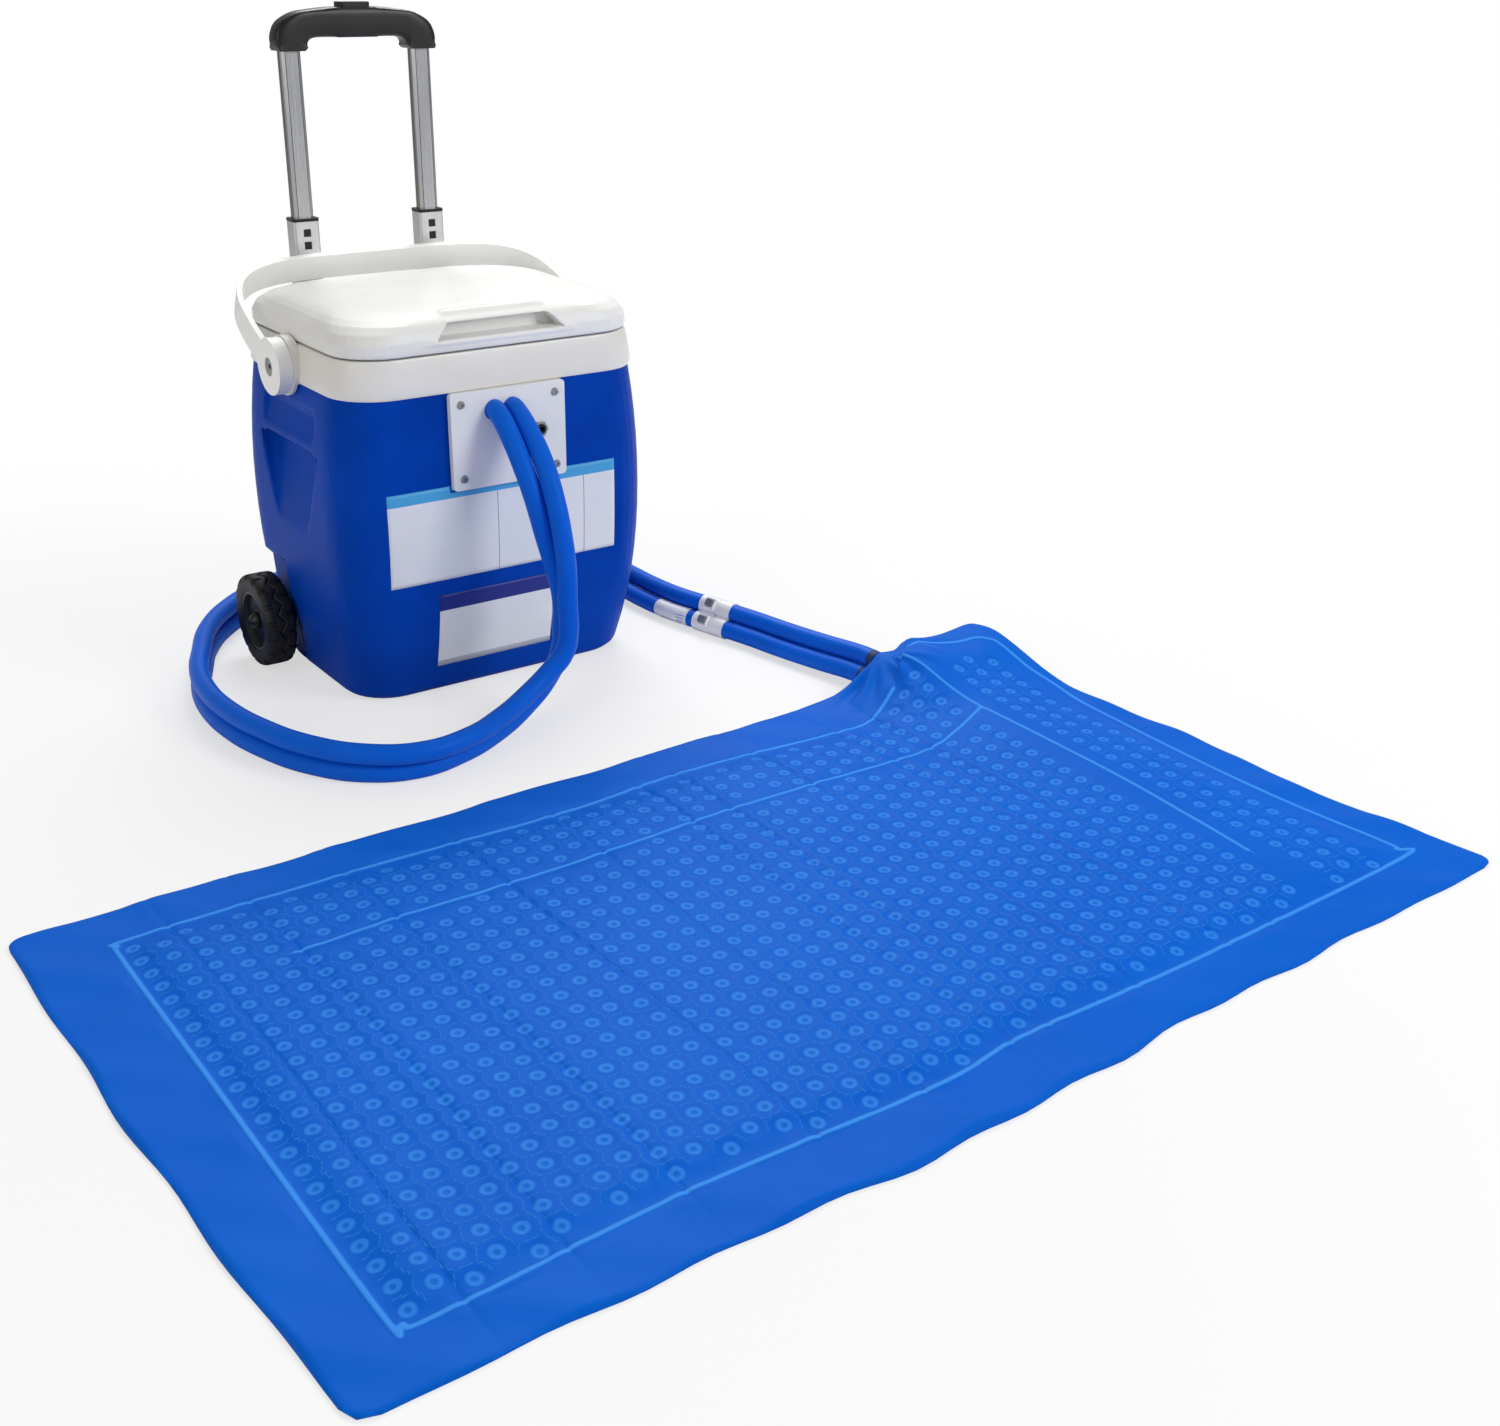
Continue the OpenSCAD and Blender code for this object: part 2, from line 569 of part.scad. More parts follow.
module plate_screws() color("silver") difference() {
  union() for (x = [-1, 1], z = [plate_top - plate_inset, plate_top - plate_h + plate_inset])
    translate([x*(plate_w/2 - plate_inset), plate_y - plate_t, z]) {
      rotate([-90, 0, 0]) cylinder(h = plate_t + 12, r = plate_screw_d/2);
      rotate([90, 0, 0]) cylinder(h = 2.2, r1 = plate_screw_d, r2 = plate_screw_d*0.8);
    }
  for (x = [-1, 1], z = [plate_top - plate_inset, plate_top - plate_h + plate_inset])
    translate([x*(plate_w/2 - plate_inset), plate_y - plate_t - 2.2, z]) for (a = [0, 90])
      rotate([0, a, 0]) cube([3.6, 2.4, 0.9], center = true);
}

fit_flange = 3.5;
nut_y = -liner_half(outlet_z - 12, floor_d, liner_d) + seat;

module bulkhead_fittings() color("dimgray") difference() {
  for (s = [-1, 1]) {
    rod_y(plate_y - fit_flange, plate_y, hose_d/2, outlet_x + s*hose_pitch/2, outlet_z);
    rod_y(plate_y, nut_y + 9, 6, outlet_x + s*hose_pitch/2, outlet_z);
  }
  for (s = [-1, 1]) rod_y(plate_y - 9, nut_y + 19, 3.5, outlet_x + s*hose_pitch/2, outlet_z);
}

module bulkhead_nuts() color("dimgray") for (s = [-1, 1]) difference() {
  translate([outlet_x + s*hose_pitch/2, nut_y, outlet_z]) rotate([-90, 30, 0])
    cylinder(h = 4, r = 9.6, $fn = 6);
  rod_y(nut_y - 1, nut_y + 9, 6 + run, outlet_x + s*hose_pitch/2, outlet_z);
}

inlet_front = plate_y - plate_t - 4.2;

module power_inlet() color("black") difference() {
  union() {
    rod_y(inlet_front, nut_y + 6, 5, inlet_x, inlet_z);
    rod_y(nut_y + 2, nut_y + 6, 7, inlet_x, inlet_z);
  }
  rod_y(inlet_front - 1, inlet_front + socket_deep, socket_d/2, inlet_x, inlet_z);
}

module inlet_nut() color("silver") difference() {
  translate([inlet_x, plate_y - plate_t - 3, inlet_z]) rotate([-90, 0, 0])
    cylinder(h = 3, r = 8, $fn = 6);
  rod_y(inlet_front, plate_y, 5 + run, inlet_x, inlet_z);
}

// ---------- pump and inner tubes ----------
pump_x = outlet_x - hose_pitch/2;
pump_y = -54;
nozzle_top = floor_z + pump_h + 10;
function line_z(share) = floor_z + share*(outlet_z - floor_z);

module pump_outline(inset) rounded_box(pump_w - 2*inset, pump_d - 2*inset, 8 - inset);

module pump_body() color("dimgray") translate([pump_x, pump_y, floor_z]) difference() {
  union() {
    linear_extrude(pump_h) pump_outline(0);
    translate([0, 0, pump_h - 1]) cylinder(h = 11, r = 6);
    for (x = [-1, 1], y = [-1, 1]) translate([x*(pump_w/2 - 9), y*(pump_d/2 - 9), 0]) cylinder(h = pump_h + 1.5, r = 4);
  }
  translate([0, pump_d/2 - 14, pump_h/2]) rotate([-90, 0, 0]) cylinder(h = 30, r = impeller_d/2 + 3);
  translate([0, 3 - pump_d/2, pump_h/2]) rotate([-90, 0, 0]) cylinder(h = 30, r = 3 + run);
  translate([0, 0, pump_h/2]) cylinder(h = 50, r = 3.5);
  for (x = [-1.5:1:1.5]) translate([x*11 - 2, -pump_d/2 - 1, pump_h - 8]) cube([4, 2.5, 20]);
}

module pump_cover() color("gray") translate([pump_x, pump_y + pump_d/2, floor_z]) difference() {
  union() {
    translate([0, 4, pump_h/2]) rotate([90, 0, 0]) linear_extrude(4) rounded_box(pump_w - 2, pump_h - 2, 7);
    translate([0, 0, pump_h/2]) rotate([-90, 0, 0]) cylinder(h = 7, r = 9);
  }
  for (k = [0:5]) translate([0, -1, pump_h/2]) rotate([0, k*60, 0]) translate([5.5, 0, 0])
    rotate([-90, 0, 0]) cylinder(h = 19, r = 1.8);
  translate([0, -1, pump_h/2]) rotate([-90, 0, 0]) cylinder(h = 4, r = 3.2);
}

module impeller() color("orange") translate([pump_x, pump_y, floor_z + pump_h/2])
  rotate([-90, 0, 0]) {
    translate([0, 0, 3.3 - pump_d/2]) cylinder(h = pump_d - 2.6, r = 3);
    translate([0, 0, pump_d/2 - 11]) cylinder(h = 2, r = impeller_d/2);
    for (k = [0:5]) rotate(k*60) translate([2, -1, pump_d/2 - 9.5]) cube([impeller_d/2 - 3, 2, 6]);
  }

module supply_tube() color("lightgray") tube([
    [pump_x, nut_y + 9, outlet_z], [pump_x, nut_y + 18, outlet_z - 3],
    [pump_x, nut_y + 25, outlet_z - 14], [pump_x, pump_y - 10, outlet_z - 50],
    [pump_x, pump_y - 6, line_z(0.55)], [pump_x, pump_y, line_z(0.35)],
    [pump_x, pump_y, nozzle_top]],
  6, 15, 10, first = [0, 1, 0], last = [0, 0, -1]);

module return_tube() color("lightgray") let(x = outlet_x + hose_pitch/2) tube([
    [x, nut_y + 9, outlet_z], [x, nut_y + 18, outlet_z - 3],
    [x + 1, nut_y + 25, outlet_z - 14], [x + 10, pump_y - 12, outlet_z - 50],
    [x + 30, pump_y - 8, line_z(0.55)], [x + 38, pump_y - 4, line_z(0.33)],
    [x + 40, pump_y - 2, line_z(0.13)]],
  6, 15, 10, first = [0, 1, 0], last = [0, 0, -1]);

module pump_lead() color("black") tube([
    [inlet_x, nut_y + 6, inlet_z], [inlet_x, nut_y + 16, inlet_z - 1],
    [inlet_x + 1, nut_y + 20, inlet_z - 14], [inlet_x + 12, nut_y + 19, inlet_z - 60],
    [inlet_x + 8, nut_y + 22, line_z(0.37)], [inlet_x - 16, pump_y - 16, line_z(0.28)],
    [pump_x + 15, pump_y - 11, floor_z + pump_h + 14],
    [pump_x + 10, pump_y - 11, floor_z + pump_h]],
  2.5, 18, 8, first = [0, 1, 0], last = [0, 0, -1]);

// ---------- trolley ----------
sleeve_z = 36;
base_z = 30;
upper_z = shell_h - 28;
tube_low = grip_z + 14 - tube_l;
grip_top = grip_z + 41;
tube_bevel = 4.2;

module at_rails() for (s = [-1, 1]) translate([s*rail_x, rail_y, 0]) children();

module trolley_sleeves() color("silver") difference() {
  at_rails() translate([0, 0, sleeve_z]) linear_extrude(sleeve_top - sleeve_z) difference() {
    rounded_box(sleeve_w, sleeve_d, 3);
    rounded_box(sleeve_w - 2*sleeve_t, sleeve_d - 2*sleeve_t, 1.6);
  }
  at_rails() for (z = [11.5, 24]) translate([-3.7, -sleeve_d/2 - 1, sleeve_top - z - 3.7])
    cube([7.4, 5, 7.4]);
}

module sleeve_bushings() color("black") difference() {
  at_rails() {
    translate([0, 0, sleeve_top - 48]) linear_extrude(48)
      rounded_box(sleeve_w - 2*sleeve_t - 2*slide, sleeve_d - 2*sleeve_t - 2*slide, 1.5);
    translate([0, 0, sleeve_top]) linear_extrude(3) rounded_box(sleeve_w, sleeve_d + 1.6, 3);
    for (z = [11.5, 24]) translate([-3.5, -sleeve_d/2, sleeve_top - z - 3.5]) cube([7, 4, 7]);
  }
  at_rails() translate([0, 0, sleeve_top - 60]) linear_extrude(90)
    chamfered_box(tube_w + 2*slide, tube_d + 2*slide, tube_bevel);
}

module rail_clamp(w, h) difference() {
  linear_extrude(h) rounded_box(sleeve_w + 2*w, sleeve_d + 2*w, 4);
  translate([0, 0, -1]) linear_extrude(h + 2) rounded_box(sleeve_w + 2*slide, sleeve_d + 2*slide, 3);
}

// Bar behind the rim that holds both sleeves
module upper_bracket() color("dimgray") difference() {
  union() {
    at_rails() translate([0, 0, upper_z]) rail_clamp(3, 20);
    translate([-rail_x - 10, half_d(upper_z) + seat, upper_z]) difference() {
      cube([2*rail_x + 20, rail_y - sleeve_d/2 - slide - half_d(upper_z) - seat - 0.8, 20]);
      translate([24, 6, -1]) cube([2*rail_x - 28, 30, 22]);
    }
  }
  for (x = [-1, 1]) rod_y(100, 150, 2 + slide, x*34, upper_z + 10);
  at_rails() translate([0, 0, upper_z - 1]) linear_extrude(22)
    rounded_box(sleeve_w + 2*slide, sleeve_d + 2*slide, 3);
}

// Foot behind the base that the sleeves stand in
module base_bracket() color("dimgray") difference() {
  along_x(-rail_x - 18, rail_x + 18) polygon([
    [half_d(base_z) + 0.7, base_z], [half_d(base_z + 30) + 0.6, base_z + 30],
    [rail_y + sleeve_d/2 + 3, base_z + 30], [rail_y + sleeve_d/2 + 3, base_z + 4],
    [rail_y + sleeve_d/2 - 1, base_z]]);
  at_rails() translate([0, 0, sleeve_z]) linear_extrude(60)
    rounded_box(sleeve_w + 2*slide, sleeve_d + 2*slide, 3);
  translate([-rail_x + 18, half_d(base_z + 30) + 7, base_z + 4]) cube([2*rail_x - 36, 60, 60]);
  for (x = [-1, 1]) rod_y(90, 150, 2 + slide, x*34, base_z + 20);
}

module bracket_screws() color("silver") {
  for (x = [-1, 1]) {
    rod_y(half_d(upper_z) - 10, half_d(upper_z) + seat + 6, 2, x*34, upper_z + 10);
    rod_y(half_d(upper_z) + seat + 6, half_d(upper_z) + seat + 8.4, 4, x*34, upper_z + 10);
    rod_y(half_d(base_z + 30) - 10, half_d(base_z + 30) + 7, 2, x*34, base_z + 20);
    rod_y(half_d(base_z + 30) + 7, half_d(base_z + 30) + 9.4, 4, x*34, base_z + 20);
  }
}

module inner_tubes() color("silver") difference() {
  at_rails() translate([0, 0, tube_low]) linear_extrude(grip_z + 14 - tube_low) difference() {
    chamfered_box(tube_w, tube_d, tube_bevel);
    chamfered_box(tube_w - 2*tube_t, tube_d - 2*tube_t, tube_bevel - 0.6*tube_t);
  }
  both() rod_x(rail_x, rail_x + 30, 3.2, rail_y, tube_low + 13);
}

module tube_end_blocks() color("black") difference() {
  at_rails() translate([0, 0, tube_low]) linear_extrude(32)
    chamfered_box(tube_w - 2*tube_t - 2*slide, tube_d - 2*tube_t - 2*slide, tube_bevel - 0.6*tube_t);
  both() rod_x(rail_x - 5, rail_x + 30, 3 + run, rail_y, tube_low + 13);
  at_rails() translate([0, 0, tube_low + 17]) cylinder(h = 30, r = 2.5);
}

module lock_pin() color("silver") {
  rod_x(rail_x - 1, rail_x + tube_w/2, 3, rail_y, tube_low + 13);
}

module lock_pin_right() lock_pin();

module lock_pin_left() mirror([1, 0, 0]) lock_pin();

rod_z = grip_top - 17;

module release_rods() color("silver") {
  translate([0, rail_y, rod_z]) {
    translate([-rail_x - 2, -3, 0]) cube([2*rail_x + 4, 6, 4]);
    for (s = [-1, 1]) translate([s*rail_x, 0, tube_low + 22 - rod_z])
      cylinder(h = rod_z - tube_low - 20, r = 2);
  }
}

module grip_outline() {
  w = grip_w/2;
  x_in = rail_x - 13;
  c = 34;
  outer = concat([[rail_x + 13, grip_z], [w, grip_z + 9]],
    [for (t = [10:10:80]) [w - c + c*cos(t), grip_z + 9 + (c - 6)*sin(t)]],
    [for (k = [5:-1:-5]) let(x = k/5*(w - c)) [x, grip_top - 4*pow(k/5, 2)]],
    [for (t = [100:10:170]) [c - w + c*cos(t), grip_z + 9 + (c - 6)*sin(t)]],
    [[-w, grip_z + 9], [-rail_x - 13, grip_z]]);
  inner = concat([[-x_in, grip_z], [-x_in + 3, grip_z + 3]],
    [for (t = [170:-10:100]) [12 - x_in + 9*cos(t), grip_z + 3 + 9*sin(t)]],
    [for (t = [80:-10:10]) [x_in - 12 + 9*cos(t), grip_z + 3 + 9*sin(t)]],
    [[x_in - 3, grip_z + 3], [x_in, grip_z]]);
  polygon(concat(outer, inner));
}

module grip() color("dimgray") difference() {
  intersection() {
    along_y(rail_y - grip_d/2, rail_y + grip_d/2) grip_outline();
    along_x(-grip_w, grip_w) translate([rail_y, grip_z + 10]) rounded_box(grip_d, 64, 8);
  }
  at_rails() translate([0, 0, grip_z - 9]) linear_extrude(9 + 14 + seat)
    chamfered_box(tube_w + 2*slide, tube_d + 2*slide, tube_bevel);
  at_rails() translate([0, 0, grip_z]) cylinder(h = rod_z - grip_z, r = 4);
  translate([-rail_x - 4, rail_y - 3.5, grip_z + 15]) cube([2*rail_x + 8, 7, rod_z + 4 + seat - grip_z - 15]);
  translate([-button_l/2 - seat, rail_y - button_w/2 - seat, rod_z + 4 - button_travel - seat])
    cube([button_l + 2*seat, button_w + 2*seat, 40]);
}

module grip_button() color("gray") translate([0, rail_y, rod_z + 4])
  linear_extrude(grip_top + 3.5 - rod_z - 4) rounded_box(button_l, button_w, 5);

module button_spring() color("silver") translate([0, rail_y, grip_z + 15])
  coil(2.4, 0.5, rod_z - grip_z - 15, 3);

// ---------- wheels ----------
module axle() color("silver") rod_x(-wheel_x - wheel_w, wheel_x + wheel_w, axle_d/2, axle_y, axle_z);

module wheel_turn() translate([wheel_x, axle_y, axle_z]) rotate([0, 90, 0]) children();

module axle_caps() color("dimgray") both() wheel_turn() difference() {
  translate([0, 0, wheel_w - 5.7]) rotate_extrude() polygon([[0, 0], [9, 0], [8.4, 3.5], [5.6, 7],
    [2.6, 8.6], [0, 9]]);
  translate([0, 0, wheel_w - 9]) cylinder(h = 9 + slide, r = axle_d/2 + slide);
}

rim_r = 31;

module tyre() color("dimgray") wheel_turn() difference() {
  rotate_extrude() polygon([[rim_r, 1], [wheel_r - 12, 0], [wheel_r - 4, 2], [wheel_r - 1, 6],
    [wheel_r, 10], [wheel_r, wheel_w - 10], [wheel_r - 1, wheel_w - 6], [wheel_r - 4, wheel_w - 2],
    [wheel_r - 12, wheel_w], [rim_r, wheel_w - 1]]);
  for (k = [0:tread_n-1]) {
    rotate(k*360/tread_n) translate([wheel_r - 7, -2, -1]) cube([9, 4, 9]);
    rotate((k + 0.5)*360/tread_n) translate([wheel_r - 7, -2, wheel_w - 8]) cube([9, 4, 9]);
  }
  rotate_extrude() translate([wheel_r - 1.6, wheel_w/2 - 1.2]) square([3, 2.4]);
}

module hub() color("dimgray") wheel_turn() difference() {
  union() {
    rotate_extrude() polygon([[0, 2], [rim_r - slide, 1.5], [rim_r - slide, wheel_w - 1.5],
      [rim_r - 3, wheel_w - 1.5], [rim_r - 5, wheel_w - 7], [13, wheel_w - 8], [11, wheel_w - 6],
      [0, wheel_w - 6]]);
    translate([0, 0, well_x + 1 - wheel_x]) cylinder(h = wheel_x - well_x + 4, r = axle_d/2 + 5);
  }
  translate([0, 0, -30]) cylinder(h = 90, r = axle_d/2 + run);
  rotate_extrude() polygon([[14, -1], [rim_r - 5, -1], [rim_r - 7, 10], [15, 10]]);
}

module tyre_right() tyre();

module hub_right() hub();

module tyre_left() mirror([1, 0, 0]) tyre();

module hub_left() mirror([1, 0, 0]) hub();

// ---------- hoses and coupler ----------
joint_at = [252, -130, 19];
inlet_way = [0, -1, 0];
pad_end = [292, -337, 22];
joint_turn = 13;
joint_tilt = 52.8;
run_way = [sin(joint_turn), -cos(joint_turn), 0];
pair_way = [cos(joint_tilt)*cos(joint_turn), cos(joint_tilt)*sin(joint_turn), sin(joint_tilt)];
face_way = cross(run_way, pair_way);

// Route of the middle of the twin hoses, each point with the way to the second hose
main_route = concat([
  [outlet_x, plate_y - fit_flange, outlet_z, 1, 0, 0],
  [outlet_x, -140, outlet_z, 1, 0, 0],
  [outlet_x - 1, -159, 279, 1, -0.1, 0],
  [-6, -188, 249, 0.9, -0.5, 0],
  [-4, -207, 215, 0.7, -0.8, 0],
  [1, -219, 165, 0.35, -0.95, 0],
  [6, -220, 127, -0.2, -0.98, 0],
  [7, -220, 90, -0.2, -0.98, 0.1],
  [0, -220, 60, -0.2, -0.8, 0.5],
  [-30, -224, 34, -0.2, -0.6, 0.8],
  [-78, -246, 21, -0.1, -0.5, 0.9],
  [-140, -272, 19, -0.1, -0.5, 0.9],
  [-198, -270, 19, 0, -0.3, 1],
  [-247, -225, 19, 0, -0.2, 1],
  [-278, -155, 20, 0, 0, 1],
  [-289, -80, 20, 0, 0, 1],
  [-282, -10, 20, 0, 0, 1],
  [-260, 50, 20, 0, 0, 1],
  [-225, 120, 20, 0, 0, 1],
  [-170, 180, 20, 0, 0, 1],
  [-90, 225, 20, 0, 0, 1],
  [0, 240, 20, 0.1, 0, 1],
  [90, 232, 20, 0.3, 0.1, 1],
  [165, 200, 20, 0.5, 0.2, 1],
  [218, 140, 20, 0.6, 0.2, 0.9],
  [232, 70, 20, 0.7, 0.1, 0.8],
  [232, 0, 19, 0.7, 0.1, 0.8]],
  [for (d = [70, socket_l + 1]) concat(joint_at - d*run_way, pair_way)]);
pad_route = concat([for (d = [plug_l, 60]) concat(joint_at + d*run_way, pair_way)],
  [concat([276, -250, 19.5], pair_way), concat([290, -315, 21.5], pair_way), concat(pad_end, pair_way)]);

module hose_supply() color("royalblue")
  tube(main_route, hose_d/2, 37, 10, -1, first = [0, -1, 0], last = run_way);

module hose_return() color("royalblue")
  tube(main_route, hose_d/2, 37, 10, 1, first = [0, -1, 0], last = run_way);

module pad_hose_supply() color("royalblue")
  tube(pad_route, hose_d/2, 6, 10, -1, first = run_way, last = inlet_way);

module pad_hose_return() color("royalblue")
  tube(pad_route, hose_d/2, 6, 10, 1, first = run_way, last = inlet_way);

// Stands its children along the hoses: x along the run, y from hose to hose, z outwards
module at_joint() multmatrix([
  [run_way[0], pair_way[0], face_way[0], joint_at[0]],
  [run_way[1], pair_way[1], face_way[1], joint_at[1]],
  [run_way[2], pair_way[2], face_way[2], joint_at[2]]]) children();

module barrel(x0, x1, r) for (s = [-1, 1]) translate([x0, s*hose_pitch/2, 0]) rotate([0, 90, 0])
  cylinder(h = x1 - x0, r = r, $fn = 96);

nose_r = 5.5;
latch_x = -9;
latch_l = 9;
latch_w = 8;

module coupler_socket() color("white") at_joint() difference() {
  union() {
    barrel(-socket_l - 1, 0, coupler_r);
    translate([-socket_l + 2, -hose_pitch/2, -7]) cube([socket_l - 4, hose_pitch, 14]);
    for (s = [-1, 1]) translate([latch_x - latch_l/2 - 2, s*hose_pitch/2 - latch_w/2 - 2, 6])
      cube([latch_l + 4, latch_w + 4, 7]);
  }
  barrel(-12, 1, nose_r + slide);
  barrel(-socket_l - 2, -10, 3.5);
  for (s = [-1, 1]) translate([latch_x - latch_l/2 - slide, s*hose_pitch/2 - latch_w/2 - slide, 7])
    cube([latch_l + 2*slide, latch_w + 2*slide, 20]);
}

module latch_button(s) color("slategray") at_joint()
  translate([latch_x, s*hose_pitch/2, 7.4 + latch_travel])
    linear_extrude(6.6) rounded_box(latch_l, latch_w, 2);

module coupler_button_a() latch_button(1);

module coupler_button_b() latch_button(-1);

module coupler_plug() color("white") at_joint() difference() {
  union() {
    barrel(0.4, plug_l, coupler_r);
    barrel(-9, 1, nose_r);
    translate([3, -hose_pitch/2, -7]) cube([plug_l - 6, hose_pitch, 14]);
  }
  barrel(-10, plug_l + 1, 3.5);
}

module pad_collars() color("midnightblue") for (s = [-1, 1]) {
  b = unit(pair_way - (pair_way*inlet_way)*inlet_way);
  n = cross(inlet_way, b);
  c = pad_end + s*hose_pitch/2*b;
  multmatrix([[n[0], b[0], inlet_way[0], c[0]], [n[1], b[1], inlet_way[1], c[1]],
    [n[2], b[2], inlet_way[2], c[2]]]) cylinder(h = 9, r = hose_d/2);
}

// ---------- pad ----------
pad_corners = [[-549, -938], [490, -925], [447, -345], [-564, -355]];
pad_w = 1040;
pad_d = 585;
seam_a = 438;
seam_b = 905;

function edges(full, seam, n) = let(b = border_w, w = weld_w)
  concat([0, b/2, b - w/2, b + w/4, b + w],
    [for (k = [1:n]) b + w + (full - 2*b - 2*w)*k/(n + 1)],
    [full - b - w, full - b - w/4, full - b + w/2, full - b/2, full]);
function sorted(v) = len(v) <= 1 ? v : let(p = v[floor(len(v)/2)])
  concat(sorted([for (x = v) if (x < p) x]), [for (x = v) if (x == p) x],
    sorted([for (x = v) if (x > p) x]));
function near(x, c, w) = max(0, 1 - abs(x - c)/w);
function ease(t) = let(k = min(max(t, 0), 1)) k*k*(3 - 2*k);
function pad_lift(x, y) = 26*ease((x - 800)/240)*ease((y - 430)/155);
function pad_hump(x, y) = 27*exp(-pow((x - 850)/46, 2))*ease((y - 470)/115);
function pad_t(x, y) = let(m = min(x, pad_w - x, y, pad_d - y), w = weld_w,
    inside = ease((m - border_w)/(1.6*w)),
    weld = max(near(y, seam_a, w)*(x > 150 && x < 800 ? 1 : 0),
               near(x, seam_b, w)*(y > 250 ? 1 : 0), near(m, border_w, w/2)))
  border_t + (field_h - border_t)*inside*(1 - 0.7*weld) - 0.8*near(m, border_w, w/2)
  + 1.2*sin(x*2.1)*inside*inside;
function pad_at(x, y) = let(u = x/pad_w, v = y/pad_d, c = pad_corners)
  (1-v)*((1-u)*c[0] + u*c[1]) + v*((1-u)*c[3] + u*c[2]);

module pad() color("dodgerblue") {
  xs = sorted(concat(edges(pad_w, 0, 14), [seam_b - weld_w/2, seam_b, seam_b + weld_w/2]));
  ys = sorted(concat(edges(pad_d, 0, 6), [seam_a - weld_w/2, seam_a, seam_a + weld_w/2]));
  n = len(xs);
  m = len(ys);
  top = [for (y = ys) for (x = xs) let(p = pad_at(x, y))
    [p[0], p[1], pad_lift(x, y) + pad_t(x, y) + pad_hump(x, y)]];
  low = [for (y = ys) for (x = xs) let(p = pad_at(x, y)) [p[0], p[1], pad_lift(x, y)]];
  q = n*m;
  quads = [for (j = [0:m-2]) for (i = [0:n-2]) let(a = j*n + i) [a, a + 1, a + n + 1, a + n]];
  rim = concat([for (i = [0:n-2]) [i, i+1]], [for (j = [0:m-2]) [j*n + n-1, (j+1)*n + n-1]],
    [for (i = [n-2:-1:0]) [(m-1)*n + i + 1, (m-1)*n + i]], [for (j = [m-2:-1:0]) [(j+1)*n, j*n]]);
  polyhedron(points = concat(top, low), faces = concat(
    [for (f = quads) each [[f[0], f[2], f[1]], [f[0], f[3], f[2]]]],
    [for (f = quads) each [[q + f[0], q + f[1], q + f[2]], [q + f[0], q + f[2], q + f[3]]]],
    [for (e = rim) each [[e[0], e[1], q + e[1]], [e[0], q + e[1], q + e[0]]]]), convexity = 8);
}

outer_shell();
foam_insulation();
inner_liner();
collar();
lid_shell();
lid_liner();
hinge_pins();
bail_handle();
bail_screws();
front_plate();
plate_screws();
bulkhead_fittings();
bulkhead_nuts();
power_inlet();
inlet_nut();
supply_tube();
return_tube();
pump_body();
pump_cover();
impeller();
pump_lead();
trolley_sleeves();
sleeve_bushings();
upper_bracket();
base_bracket();
bracket_screws();
inner_tubes();
tube_end_blocks();
grip();
grip_button();
button_spring();
release_rods();
lock_pin_left();
lock_pin_right();
axle();
axle_caps();
tyre_left();
hub_left();
tyre_right();
hub_right();
hose_supply();
hose_return();
coupler_socket();
coupler_plug();
coupler_button_a();
coupler_button_b();
pad_hose_supply();
pad_hose_return();
pad_collars();
pad();
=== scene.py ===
import json
import math

import bmesh
import bpy
import numpy as np
from mathutils import Matrix, Vector
from mathutils.bvhtree import BVHTree

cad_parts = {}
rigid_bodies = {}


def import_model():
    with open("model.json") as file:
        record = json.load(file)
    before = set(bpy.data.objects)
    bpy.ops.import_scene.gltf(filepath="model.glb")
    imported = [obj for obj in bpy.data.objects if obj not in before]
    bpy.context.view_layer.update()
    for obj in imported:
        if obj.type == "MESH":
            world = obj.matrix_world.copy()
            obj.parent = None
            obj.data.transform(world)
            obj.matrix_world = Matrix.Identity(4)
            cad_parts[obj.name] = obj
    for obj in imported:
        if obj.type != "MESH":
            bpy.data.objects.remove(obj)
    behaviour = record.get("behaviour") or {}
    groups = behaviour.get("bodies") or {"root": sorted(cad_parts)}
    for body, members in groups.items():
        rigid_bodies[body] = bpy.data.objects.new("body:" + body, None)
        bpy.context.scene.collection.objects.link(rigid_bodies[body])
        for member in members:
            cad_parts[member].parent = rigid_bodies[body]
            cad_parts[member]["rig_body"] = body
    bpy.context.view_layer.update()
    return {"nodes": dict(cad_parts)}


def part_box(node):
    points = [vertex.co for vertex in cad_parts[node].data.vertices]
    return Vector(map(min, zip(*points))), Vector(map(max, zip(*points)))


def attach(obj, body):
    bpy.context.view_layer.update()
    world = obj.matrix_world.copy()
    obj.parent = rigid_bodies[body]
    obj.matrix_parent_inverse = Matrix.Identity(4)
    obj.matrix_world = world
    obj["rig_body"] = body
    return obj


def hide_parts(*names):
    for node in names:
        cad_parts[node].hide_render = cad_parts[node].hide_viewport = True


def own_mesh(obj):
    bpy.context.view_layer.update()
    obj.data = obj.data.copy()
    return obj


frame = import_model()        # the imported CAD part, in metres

nodes = frame["nodes"]
scene = bpy.context.scene
print("frame loaded:", len(nodes), "nodes")

